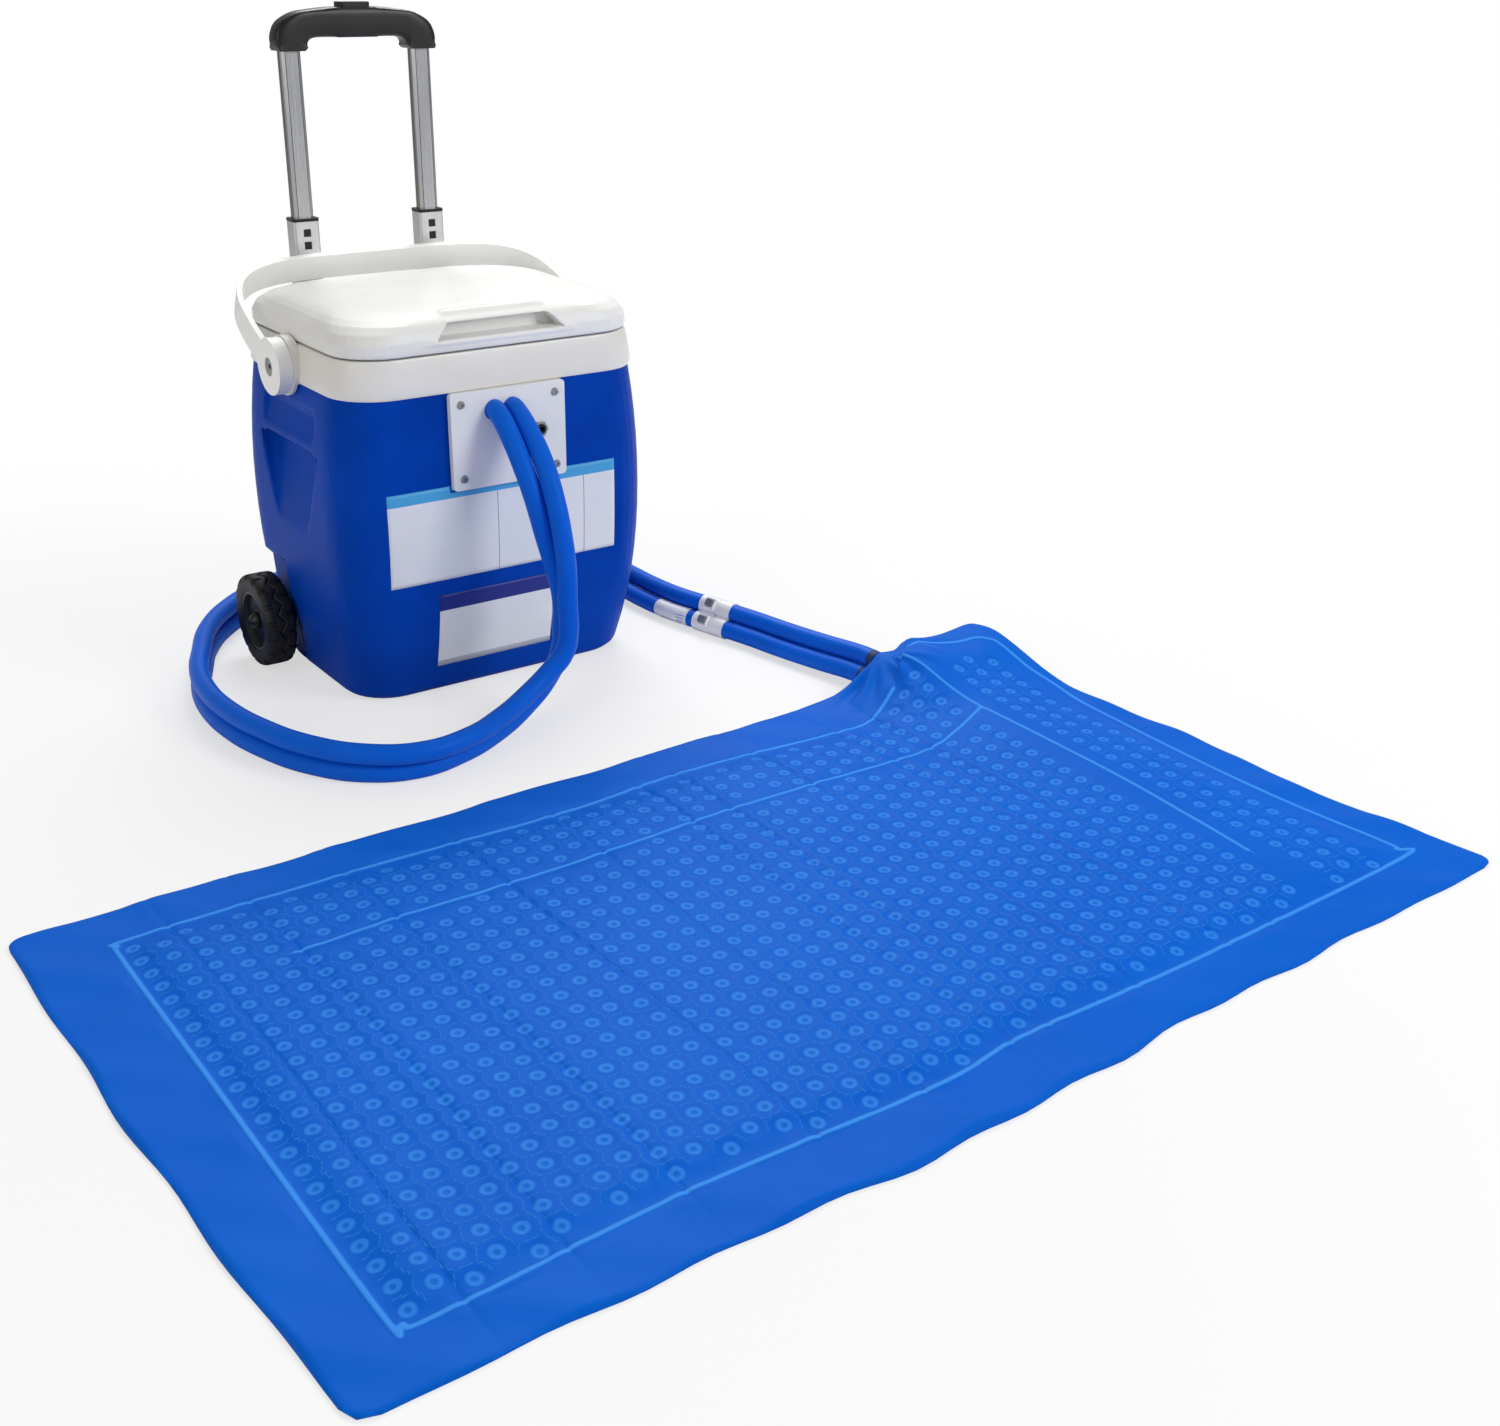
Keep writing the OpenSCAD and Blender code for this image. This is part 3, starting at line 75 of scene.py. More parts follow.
# ---------- camera ----------
cameraSetup = {
    "place": (-0.7924, -1.5943, 0.7040),
    "right": (0.806504, -0.590984, 0.017021),
    "up": (0.227444, 0.336704, 0.913729),
    "lens": 42.12,
}
camera = bpy.data.objects.new("camera", bpy.data.cameras.new("camera"))
camera.data.lens = cameraSetup["lens"]
camera.data.sensor_width = 36
camera.data.sensor_fit = "HORIZONTAL"
camera.data.clip_end = 50
right = Vector(cameraSetup["right"]).normalized()
up = Vector(cameraSetup["up"]).normalized()
turn = Matrix((right, up, right.cross(up))).transposed().to_4x4()
camera.matrix_world = Matrix.Translation(cameraSetup["place"]) @ turn
scene.collection.objects.link(camera)
scene.camera = camera
print("camera placed")


# ---------- helpers ----------
def hexColour(code):
    # a shader socket takes linear values, and the hex is sRGB
    parts = [int(code[i:i + 2], 16) / 255 for i in (1, 3, 5)]
    return [c / 12.92 if c < 0.04045 else ((c + 0.055) / 1.055) ** 2.4 for c in parts] + [1]


def addNode(tree, kind, settings=None, links=None):
    node = tree.nodes.new("ShaderNode" + kind)
    for name, value in (settings or {}).items():
        if isinstance(name, str) and hasattr(node, name):
            setattr(node, name, value)
        else:
            node.inputs[name].default_value = value
    for name, source in (links or {}).items():
        tree.links.new(source, node.inputs[name])
    return node


def startMaterial(name):
    material = bpy.data.materials.new(name)
    material.use_nodes = True
    material.node_tree.nodes.clear()
    return material, material.node_tree


def finishMaterial(tree, settings, links):
    shader = addNode(tree, "BsdfPrincipled", settings, links)
    addNode(tree, "OutputMaterial", {}, {"Surface": shader.outputs[0]})


def addRamp(tree, stops, source):
    ramp = addNode(tree, "ValToRGB", {}, {"Fac": source})
    elements = ramp.color_ramp.elements
    while len(elements) < len(stops):
        elements.new(0.5)
    for element, (place, value) in zip(elements, stops):
        element.position = place
        element.color = value if isinstance(value, list) else (value, value, value, 1)
    return ramp


def newPiece(name, bm, body, material, smooth=None):
    # one object at the origin, with its place in its mesh
    mesh = bpy.data.meshes.new(name)
    bm.to_mesh(mesh)
    bm.free()
    piece = bpy.data.objects.new(name, mesh)
    scene.collection.objects.link(piece)
    for one in material if isinstance(material, list) else [material]:
        mesh.materials.append(one)
    if smooth is not None:
        mesh.shade_smooth()
        mesh.set_sharp_from_angle(angle=math.radians(smooth))
    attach(piece, body)
    return piece


def ease(t):
    t = np.clip(t, 0, 1)
    return t * t * (3 - 2 * t)


def curvePoint(points, s):
    # uniform Catmull-Rom curve through the points, with its ends mirrored
    i = min(int(s), len(points) - 2)
    t = s - i
    b, c = points[i], points[i + 1]
    a = points[i - 1] if i > 0 else 2 * b - c
    d = points[i + 2] if i < len(points) - 2 else 2 * c - b
    return 0.5 * (2 * b + (c - a) * t + (2 * a - 5 * b + 4 * c - d) * t ** 2
                  + (3 * b - a - 3 * c + d) * t ** 3)


# ---------- hoses ----------
hoseSetup = {
    "diameter": 0.0195,
    "pitch": 0.01956,                    # centre to centre of the twin hoses
    "coupler": (0.252, -0.130, 0.019),   # where socket and plug meet
    "turn": 13,
    "tilt": 52.8,
    "padEnd": (0.292, -0.337, 0.022),
}
# each row is a point of the twin hose's middle line and the way to the second hose
mainRoute = [
    (-0.006, -0.1337, 0.2877, 1, 0, 0), (-0.006, -0.140, 0.2877, 1, 0, 0),
    (-0.007, -0.159, 0.279, 1, -0.1, 0), (-0.006, -0.188, 0.249, 0.9, -0.5, 0),
    (-0.004, -0.207, 0.215, 0.7, -0.8, 0), (0.001, -0.219, 0.165, 0.35, -0.95, 0),
    (0.006, -0.220, 0.127, -0.2, -0.98, 0), (0.007, -0.220, 0.090, -0.2, -0.98, 0.1),
    (0, -0.220, 0.060, -0.2, -0.8, 0.5), (-0.030, -0.224, 0.034, -0.2, -0.6, 0.8),
    (-0.078, -0.246, 0.021, -0.1, -0.5, 0.9), (-0.140, -0.272, 0.019, -0.1, -0.5, 0.9),
    (-0.198, -0.270, 0.019, 0, -0.3, 1), (-0.247, -0.225, 0.019, 0, -0.2, 1),
    (-0.278, -0.155, 0.020, 0, 0, 1), (-0.289, -0.080, 0.020, 0, 0, 1),
    (-0.282, -0.010, 0.020, 0, 0, 1), (-0.260, 0.050, 0.020, 0, 0, 1),
    (-0.225, 0.120, 0.020, 0, 0, 1), (-0.170, 0.180, 0.020, 0, 0, 1),
    (-0.090, 0.225, 0.020, 0, 0, 1), (0, 0.240, 0.020, 0.1, 0, 1),
    (0.090, 0.232, 0.020, 0.3, 0.1, 1), (0.165, 0.200, 0.020, 0.5, 0.2, 1),
    (0.218, 0.140, 0.020, 0.6, 0.2, 0.9), (0.232, 0.070, 0.020, 0.7, 0.1, 0.8),
    (0.232, 0, 0.019, 0.7, 0.1, 0.8),
]
turnAngle, tiltAngle = math.radians(hoseSetup["turn"]), math.radians(hoseSetup["tilt"])
couplerAt = Vector(hoseSetup["coupler"])
runWay = Vector((math.sin(turnAngle), -math.cos(turnAngle), 0))
pairWay = Vector((math.cos(tiltAngle) * math.cos(turnAngle),
                  math.cos(tiltAngle) * math.sin(turnAngle), math.sin(tiltAngle)))
mainRoute += [(*(couplerAt - d * runWay), *pairWay) for d in (0.070, 0.025)]
padRoute = [(*(couplerAt + d * runWay), *pairWay) for d in (0.018, 0.060)]
padRoute += [(0.276, -0.250, 0.0195, *pairWay), (0.290, -0.315, 0.0215, *pairWay),
             (*hoseSetup["padEnd"], *pairWay)]


def hoseFrames(route, count, side, firstWay, lastWay):
    # centre, run and pair direction of one of the twin hoses, at count places
    places = [Vector(row[:3]) for row in route]
    leans = [Vector(row[3:]) for row in route]
    last = len(route) - 1
    frames = []
    for k in range(count):
        s = last * k / (count - 1)
        way = curvePoint(places, min(s + 0.01, last)) - curvePoint(places, max(s - 0.01, 0))
        way = (firstWay if k == 0 else lastWay if k == count - 1 else way).normalized()
        lean = curvePoint(leans, s)
        pair = (lean - lean.dot(way) * way).normalized()
        frames.append((curvePoint(places, s) + side * hoseSetup["pitch"] / 2 * pair, way, pair))
    return frames


def hoseCurve(name, frames):
    curve = bpy.data.curves.new(name, "CURVE")
    curve.dimensions = "3D"
    curve.bevel_depth = 1                # times each point's radius
    curve.bevel_resolution = 8
    curve.resolution_u = 6
    curve.use_fill_caps = True
    spline = curve.splines.new("BEZIER")
    spline.bezier_points.add(len(frames) - 1)
    for point, (centre, way, pair) in zip(spline.bezier_points, frames):
        point.co = centre
        point.handle_left_type = point.handle_right_type = "AUTO"
        point.radius = hoseSetup["diameter"] / 2
    piece = bpy.data.objects.new(name, curve)
    scene.collection.objects.link(piece)
    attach(piece, "cooler")
    return piece


outWay = Vector((0, -1, 0))
supplyFrames = hoseFrames(mainRoute, 37, -1, outWay, runWay)
returnFrames = hoseFrames(mainRoute, 37, 1, outWay, runWay)
padSupplyFrames = hoseFrames(padRoute, 6, -1, runWay, outWay)
padReturnFrames = hoseFrames(padRoute, 6, 1, runWay, outWay)
hoses = {
    "hose_supply": hoseCurve("foam_hose_supply", supplyFrames),
    "hose_return": hoseCurve("foam_hose_return", returnFrames),
    "pad_hose_supply": hoseCurve("foam_pad_hose_supply", padSupplyFrames),
    "pad_hose_return": hoseCurve("foam_pad_hose_return", padReturnFrames),
}
for nodeName, hose in hoses.items():
    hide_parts(nodeName)


def chainLength(frames):
    centres = [f[0] for f in frames]
    return sum((b - a).length for a, b in zip(centres, centres[1:]))


print("hoses laid:", {n: round(chainLength(f), 3) for n, f in (
    ("supply", supplyFrames), ("return", returnFrames),
    ("padSupply", padSupplyFrames), ("padReturn", padReturnFrames))})


# ---------- materials ----------
def mouldedPlastic(name, look):
    # grain is the size of one bump of the mould's texture in mm, and depth its height
    material, tree = startMaterial(name)
    coords = addNode(tree, "TexCoord").outputs["Object"]
    cloud = addNode(tree, "TexNoise", {"Scale": 1000 / look["cloud"], "Detail": 4},
                    {"Vector": coords}).outputs[0]
    colour = addNode(tree, "Mix", {"data_type": "RGBA", 6: hexColour(look["shade"]),
                                   7: hexColour(look["colour"])},
                     {0: addRamp(tree, [(0.3, 0.0), (0.62, 1.0)], cloud).outputs[0]}).outputs[2]
    pebble = addNode(tree, "TexVoronoi", {"feature": "SMOOTH_F1", "Scale": 1000 / look["grain"],
                                          "Smoothness": 0.6}, {"Vector": coords}).outputs[0]
    fine = addNode(tree, "TexNoise", {"Scale": 2600 / look["grain"], "Detail": 2},
                   {"Vector": coords}).outputs[0]
    height = addNode(tree, "Mix", {"data_type": "FLOAT", 0: 0.25}, {2: pebble, 3: fine}).outputs[0]
    bump = addNode(tree, "Bump", {"Strength": look["bump"], "Distance": look["depth"] / 1000},
                   {"Height": height}).outputs[0]
    low, high = look["rough"]
    rough = addNode(tree, "MapRange", {"To Min": low, "To Max": high}, {"Value": cloud}).outputs[0]
    finishMaterial(tree, {"IOR": look["ior"], "Specular IOR Level": look.get("shine", 0.5),
                          "Specular Tint": hexColour(look.get("tint", "#ffffff"))},
                   {"Base Color": colour, "Roughness": rough, "Normal": bump})
    return material


# high-density polyethylene, blow moulded: a waxy pebbled skin, nearly matt
polyethyleneBlue = mouldedPlastic("polyethylene_blue_pebbled", {
    "colour": "#0743ae", "shade": "#043a9e", "cloud": 90, "grain": 1.7, "depth": 0.35,
    "bump": 0.6, "rough": (0.34, 0.42), "ior": 1.54, "shine": 0.035, "tint": "#7aa6f0"})
# the same plastic in white on the lid, with a finer grain that keeps it matt
polyethyleneWhite = mouldedPlastic("polyethylene_white_pebbled", {
    "colour": "#ebebe9", "shade": "#e6e6e3", "cloud": 80, "grain": 1.5, "depth": 0.3,
    "bump": 0.6, "rough": (0.42, 0.5), "ior": 1.54})
# collar and handle: smooth moulded white with a faint warm tone
polyethyleneSmooth = mouldedPlastic("polyethylene_white_smooth", {
    "colour": "#e6e4df", "shade": "#e1dfd8", "cloud": 60, "grain": 2.4, "depth": 0.08,
    "bump": 0.25, "rough": (0.34, 0.42), "ior": 1.54})
# the handle's strap: the same smooth plastic in a whiter white; the extra whiteness is painted
# light, standing in for the brighter light on the strap
polyethyleneStrapPaintedLight = mouldedPlastic("polyethylene_white_strap_painted_light", {
    "colour": "#f4f4f2", "shade": "#efefec", "cloud": 60, "grain": 2.4, "depth": 0.08,
    "bump": 0.25, "rough": (0.34, 0.42), "ior": 1.54})
# sheet of white PVC: flat, cool and slightly glossy
pvcSheet = mouldedPlastic("pvc_sheet_white", {
    "colour": "#e8e9ea", "shade": "#e4e5e7", "cloud": 40, "grain": 3, "depth": 0.03,
    "bump": 0.2, "rough": (0.28, 0.34), "ior": 1.53})
# glass-filled nylon, spark-eroded mould: black with a dull satin shine
nylonBlack = mouldedPlastic("nylon_black_moulded", {
    "colour": "#111214", "shade": "#0c0d0e", "cloud": 30, "grain": 0.9, "depth": 0.1,
    "bump": 0.3, "rough": (0.32, 0.4), "ior": 1.53, "shine": 0.36})
# acetal, moulded smooth: a clean white with soft highlights
acetalWhite = mouldedPlastic("acetal_white", {
    "colour": "#f0f0f1", "shade": "#e8e8ea", "cloud": 20, "grain": 1.4, "depth": 0.06,
    "bump": 0.25, "rough": (0.3, 0.38), "ior": 1.48})
# ABS in slate grey for the latch buttons
absSlate = mouldedPlastic("abs_slate", {
    "colour": "#6c707c", "shade": "#5f6370", "cloud": 12, "grain": 0.8, "depth": 0.05,
    "bump": 0.25, "rough": (0.38, 0.46), "ior": 1.53})
# expanded polystyrene between the skins: dull beads
foamWhite = mouldedPlastic("polystyrene_foam", {
    "colour": "#e9e9e4", "shade": "#dfdfd8", "cloud": 15, "grain": 4, "depth": 0.8,
    "bump": 0.8, "rough": (0.7, 0.8), "ior": 1.45})
# clear PVC tube inside the box: its wall reads as milky
pvcTube = mouldedPlastic("pvc_tube_milky", {
    "colour": "#c6ced4", "shade": "#b8c2ca", "cloud": 25, "grain": 2, "depth": 0.03,
    "bump": 0.2, "rough": (0.2, 0.28), "ior": 1.53})
# tyre: natural rubber compound, dusty black with almost no shine
rubberTyre = mouldedPlastic("rubber_tyre", {
    "colour": "#141516", "shade": "#0e0f10", "cloud": 18, "grain": 0.8, "depth": 0.12,
    "bump": 0.35, "rough": (0.46, 0.58), "ior": 1.52, "shine": 0.35})
# polypropylene hub: the same black, a little smoother
polypropyleneHub = mouldedPlastic("polypropylene_black", {
    "colour": "#0f1011", "shade": "#0b0b0c", "cloud": 20, "grain": 1.1, "depth": 0.06,
    "bump": 0.25, "rough": (0.38, 0.46), "ior": 1.49})
# woven nylon collar where a hose meets the pad: deep navy
nylonNavy = mouldedPlastic("nylon_navy_binding", {
    "colour": "#0b2a63", "shade": "#08214f", "cloud": 10, "grain": 0.8, "depth": 0.25,
    "bump": 0.7, "rough": (0.6, 0.7), "ior": 1.5})


def foamSkin(name, look):
    # closed-cell foam sleeve: a matt skin with tiny pores and a soft blue highlight
    material, tree = startMaterial(name)
    coords = addNode(tree, "TexCoord").outputs["Object"]
    cloud = addNode(tree, "TexNoise", {"Scale": 1000 / 35, "Detail": 3},
                    {"Vector": coords}).outputs[0]
    colour = addNode(tree, "Mix", {"data_type": "RGBA", 6: hexColour(look["shade"]),
                                   7: hexColour(look["colour"])}, {0: cloud}).outputs[2]
    pores = addNode(tree, "TexNoise", {"Scale": 1000 / look["pore"], "Detail": 3,
                                       "Roughness": 0.6}, {"Vector": coords}).outputs[0]
    bump = addNode(tree, "Bump", {"Strength": 0.35, "Distance": 0.0002},
                   {"Height": pores}).outputs[0]
    finishMaterial(tree, {"Roughness": 0.42, "IOR": 1.45, "Specular IOR Level": 0.16,
                          "Specular Tint": hexColour("#9cc4ff")},
                   {"Base Color": colour, "Normal": bump})
    return material


foamBlue = foamSkin("closed_cell_foam_blue", {"colour": "#0c63da", "shade": "#0a5acd",
                                              "pore": 1.1})


def brushedMetal(name, look):
    # drawn and brushed along one axis: fine lines stretched along it break up the reflection
    material, tree = startMaterial(name)
    coords = addNode(tree, "TexCoord").outputs["Object"]
    stretched = addNode(tree, "Mapping", {"Scale": look["stretch"]},
                        {"Vector": coords}).outputs[0]
    lines = addNode(tree, "TexNoise", {"Scale": 1000 / look["line"], "Detail": 3},
                    {"Vector": stretched}).outputs[0]
    colour = addNode(tree, "Mix", {"data_type": "RGBA", 6: hexColour(look["shade"]),
                                   7: hexColour(look["colour"])}, {0: lines}).outputs[2]
    if "paintedShadeFrom" in look:  # distance from the rail's middle line, in metres
        across = addNode(tree, "SeparateXYZ", {}, {0: coords}).outputs[0]
        for operation, value in (("ABSOLUTE", 0), ("SUBTRACT", 0.070), ("ABSOLUTE", 0)):
            across = addNode(tree, "Math", {"operation": operation, 1: value},
                             {0: across}).outputs[0]
        # painted shade: past this distance the rail's sides are mixed towards dark grey, standing
        # in for the shade on them
        shaded = addNode(tree, "MapRange", {"From Min": look["paintedShadeFrom"], "To Max": 0.62,
                                            "From Max": look["paintedShadeFrom"] + 0.0006},
                         {"Value": across}).outputs[0]
        # painted shade: two thin dark lines stand in for the shade in the extrusion's grooves
        grooveShade = addNode(tree, "Math", {"operation": "COMPARE", 1: 0.0066, 2: 0.0003},
                        {0: across}).outputs[0]
        paintedShade = addNode(tree, "Math", {"operation": "MAXIMUM"}, {0: shaded, 1: grooveShade}).outputs[0]
        colour = addNode(tree, "Mix", {"data_type": "RGBA", 7: hexColour("#4c4b47")},
                         {0: paintedShade, 6: colour}).outputs[2]
    low, high = look["rough"]
    rough = addNode(tree, "MapRange", {"To Min": low, "To Max": high}, {"Value": lines}).outputs[0]
    bump = addNode(tree, "Bump", {"Strength": 0.15, "Distance": 0.00008},
                   {"Height": lines}).outputs[0]
    finishMaterial(tree, {"Metallic": 1.0},
                   {"Base Color": colour, "Roughness": rough, "Normal": bump})
    return material


# anodised aluminium extrusion: satin silver with draw lines along its length, with painted shade
# on its sides and in two thin groove lines
aluminiumTube = brushedMetal("aluminium_anodised", {
    "colour": "#c3c5c9", "shade": "#adafb2", "stretch": (1, 1, 0.02), "line": 0.9,
    "rough": (0.2, 0.32), "paintedShadeFrom": 0.0094})
aluminiumSleeve = brushedMetal("aluminium_satin_sleeve", {
    "colour": "#d6d6d6", "shade": "#c6c6c6", "stretch": (1, 1, 0.02), "line": 1.1,
    "rough": (0.32, 0.46)})
# zinc-plated steel screws, turned: bright with a grey cast
zincSteel = brushedMetal("steel_zinc_plated", {
    "colour": "#a9aaab", "shade": "#87888a", "stretch": (1, 1, 1), "line": 0.7,
    "rough": (0.26, 0.4)})

for hose in hoses.values():
    hose.data.materials.append(foamBlue)
print("materials made")

# ---------- CAD nodes, dressed ----------
# node: material, edge rounding in mm, angle in degrees past which an edge stays sharp
dressing = {
    "outer_shell": (polyethyleneBlue, 0, 34),
    "collar": (polyethyleneSmooth, 0.6, 32),
    "lid_shell": (polyethyleneWhite, 0, 36),
    "lid_liner": (polyethyleneSmooth, 0, 30),
    "bail_handle": (polyethyleneStrapPaintedLight, 0.5, 34),
    "front_plate": (pvcSheet, 0.5, 30),
    "plate_screws": (zincSteel, 0, 30),
    "bail_screws": (zincSteel, 0, 30),
    "inlet_nut": (zincSteel, 0.25, 30),
    "power_inlet": (nylonBlack, 0.2, 30),
    "bulkhead_fittings": (nylonBlack, 0, 30),
    "trolley_sleeves": (aluminiumSleeve, 0.4, 25),
    "sleeve_bushings": (nylonBlack, 0.5, 30),
    "upper_bracket": (nylonBlack, 0.8, 30),
    "base_bracket": (nylonBlack, 0.8, 30),
    "inner_tubes": (aluminiumTube, 0.3, 25),
    "grip": (nylonBlack, 0, 40),
    "grip_button": (nylonBlack, 0.6, 30),
    "axle_caps": (nylonBlack, 0.3, 30),
    "hub_left": (polypropyleneHub, 0, 30),
    "hub_right": (polypropyleneHub, 0, 30),
    "coupler_socket": (acetalWhite, 0.5, 34),
    "coupler_plug": (acetalWhite, 0.4, 34),
    "coupler_button_a": (absSlate, 0.4, 34),
    "coupler_button_b": (absSlate, 0.4, 34),
    "pad_collars": (nylonNavy, 0, 40),
    "button_spring": (zincSteel, 0, 60),
}
inside = {
    "foam_insulation": foamWhite, "inner_liner": polyethyleneSmooth, "hinge_pins": zincSteel,
    "bulkhead_nuts": nylonBlack, "supply_tube": pvcTube, "return_tube": pvcTube,
    "pump_body": nylonBlack, "pump_cover": nylonBlack, "impeller": nylonBlack,
    "pump_lead": rubberTyre, "bracket_screws": zincSteel, "tube_end_blocks": nylonBlack,
    "release_rods": zincSteel, "lock_pin_left": zincSteel,
    "lock_pin_right": zincSteel, "axle": zincSteel,
}


# boxes in mm where moulded corners are soft: low, high, size of a cut, rounds of smoothing
easing = {
    "outer_shell": [((-174, -74, 152), (-132, 74, 294), 3.4, 6),
                    ((132, -74, 152), (174, 74, 294), 3.4, 6)],
    "lid_shell": [((-98, -134, 351), (98, -62, 383), 2.6, 7)],
    "grip": [((-88, 142, 594), (88, 168, 633), 2.6, 22)],
}
# the button's slot in the grip keeps its shape
slotLow, slotHigh = Vector((-0.021, 0.1445, 0.59)), Vector((0.021, 0.1655, 0.6305))


def easeCorners(bm, low, high, cell, rounds):
    # the skin is cut by a lattice, and its outer vertices are relaxed
    low, high = Vector(low) / 1000, Vector(high) / 1000
    for axis in range(3):
        steps = max(round((high[axis] - low[axis]) * 1000 / cell), 1)
        across = Vector([float(k == axis) for k in range(3)])
        for n in range(steps + 1):
            place = low + across * (high[axis] - low[axis]) * n / steps
            bmesh.ops.bisect_plane(bm, geom=bm.verts[:] + bm.edges[:] + bm.faces[:], dist=1e-5,
                                   plane_co=place, plane_no=across)
    bmesh.ops.recalc_face_normals(bm, faces=bm.faces)
    bm.normal_update()
    skin = BVHTree.FromBMesh(bm)
    loose = []
    for vert in bm.verts:
        if all(slotLow[k] < vert.co[k] < slotHigh[k] for k in range(3)):
            continue
        if all(low[k] < vert.co[k] < high[k] for k in range(3)):
            hit = skin.ray_cast(vert.co + 0.0004 * vert.normal, vert.normal, 0.03)[0]
            if hit is None:
                loose.append(vert)
    bmesh.ops.remove_doubles(bm, verts=loose, dist=cell / 4000)
    loose = [vert for vert in loose if vert.is_valid]
    for n in range(rounds):
        bmesh.ops.smooth_vert(bm, verts=loose, factor=0.5, use_axis_x=True, use_axis_y=True,
                              use_axis_z=True)


def dressNode(nodeName, material, rounding, sharp):
    # a merged copy of the CAD node's mesh with smooth shading and small rounded edges
    node = nodes[nodeName]
    bm = bmesh.new()
    bm.from_mesh(node.data)
    bmesh.ops.remove_doubles(bm, verts=bm.verts, dist=2e-6)
    bmesh.ops.dissolve_degenerate(bm, edges=bm.edges, dist=1e-6)
    bmesh.ops.dissolve_limit(bm, angle_limit=math.radians(0.6), verts=bm.verts, edges=bm.edges)
    for area in easing.get(nodeName, []):
        easeCorners(bm, *area)
    piece = newPiece(nodeName + "_dressed", bm, node["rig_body"], material,
                     sharp)
    if rounding:
        bevel = piece.modifiers.new("edges", "BEVEL")
        bevel.width = rounding / 1000
        bevel.segments = 2
        bevel.limit_method = "ANGLE"
        bevel.angle_limit = math.radians(sharp)
    even = piece.modifiers.new("even", "WEIGHTED_NORMAL")
    even.keep_sharp = True
    even.weight = 70
    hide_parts(nodeName)
    return piece


dressed = {name: dressNode(name, *look) for name, look in dressing.items()}
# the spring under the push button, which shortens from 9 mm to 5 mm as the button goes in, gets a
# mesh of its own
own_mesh(dressed["button_spring"])
for nodeName, material in inside.items():
    mesh = nodes[nodeName].data
    for i in range(len(mesh.materials)):
        mesh.materials[i] = material
print("nodes dressed:", len(dressed), "and", len(inside), "inside")

# ---------- tyres ----------
tyreSetup = {
    "centre": (0.168, 0.065, 0.0482),    # inner face, axle height
    "section": [(1, 31), (0.4, 36), (0, 40), (0.5, 44.6), (2, 46.9), (4.5, 47.8), (15, 48),
                (25.5, 47.8), (28, 46.9), (29.5, 44.6), (30, 40), (29.6, 36), (29, 31), (1, 31)],
    "lugs": 16, "around": 384, "along": 68,
}


def makeTyre(nodeName):
    # a closed section swept round the axle, with shoulder grooves and a zigzag sunk into it
    side = -1 if nodeName == "tyre_left" else 1
    section = np.array(tyreSetup["section"], float)
    run = np.concatenate([[0], np.cumsum(np.hypot(*np.diff(section, axis=0).T))])
    bm = bmesh.new()
    bmesh.ops.create_grid(bm, x_segments=tyreSetup["around"], y_segments=tyreSetup["along"],
                          size=0.5)
    cx, cy, cz = tyreSetup["centre"]
    for vert in bm.verts:
        turns, place = vert.co.x + 0.5, (vert.co.y + 0.5) * run[-1]
        across, radius = (np.interp(place, run, section[:, k]) for k in (0, 1))
        lug = turns * tyreSetup["lugs"]
        off = abs(across - 15)
        far = abs((lug + (0.5 if across < 15 else 0)) % 1 - 0.5) * 18.8
        wide = 1.3 + 1.7 * min(max((off - 6) / 9, 0), 1)
        shoulder = ease((wide - far) / 0.7 + 0.5) * ease(off - 5.5)
        zigzag = 15 + 3.2 * (4 * abs(lug % 1 - 0.5) - 1)
        middle = ease((1.0 - abs(across - zigzag)) / 0.6 + 0.5)
        radius -= max(2.2 * shoulder, 1.3 * middle) * ease((radius - 41) / 4)
        angle = 2 * math.pi * turns
        vert.co = (side * (cx + across / 1000), cy + radius / 1000 * math.cos(angle),
                   cz + radius / 1000 * math.sin(angle))
    bmesh.ops.remove_doubles(bm, verts=bm.verts, dist=1e-6)
    bmesh.ops.recalc_face_normals(bm, faces=bm.faces)
    piece = newPiece(nodeName + "_dressed", bm, nodes[nodeName]["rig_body"],
                     rubberTyre, 40)
    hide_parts(nodeName)


for name in ("tyre_left", "tyre_right"):
    makeTyre(name)
print("tyres made")

# ---------- labels on the front face ----------
labelSetup = {
    # left, right, bottom, top in mm on the face, header height, footer height and colours
    "label_upper": {"box": (-129, 120, 126, 219), "header": 12, "footer": 0,
                    "paper": "#e9ebee", "band": "#4aa5dc", "foot": "#b9c7d6",
                    "rules": (-13, 84)},
    "label_lower": {"box": (-78, 50, 31, 110), "header": 17, "footer": 6,
                    "paper": "#ecedf0", "band": "#222f86", "foot": "#b3b9c4", "rules": ()},
    "thickness": 0.00018, "cell": 4,
}


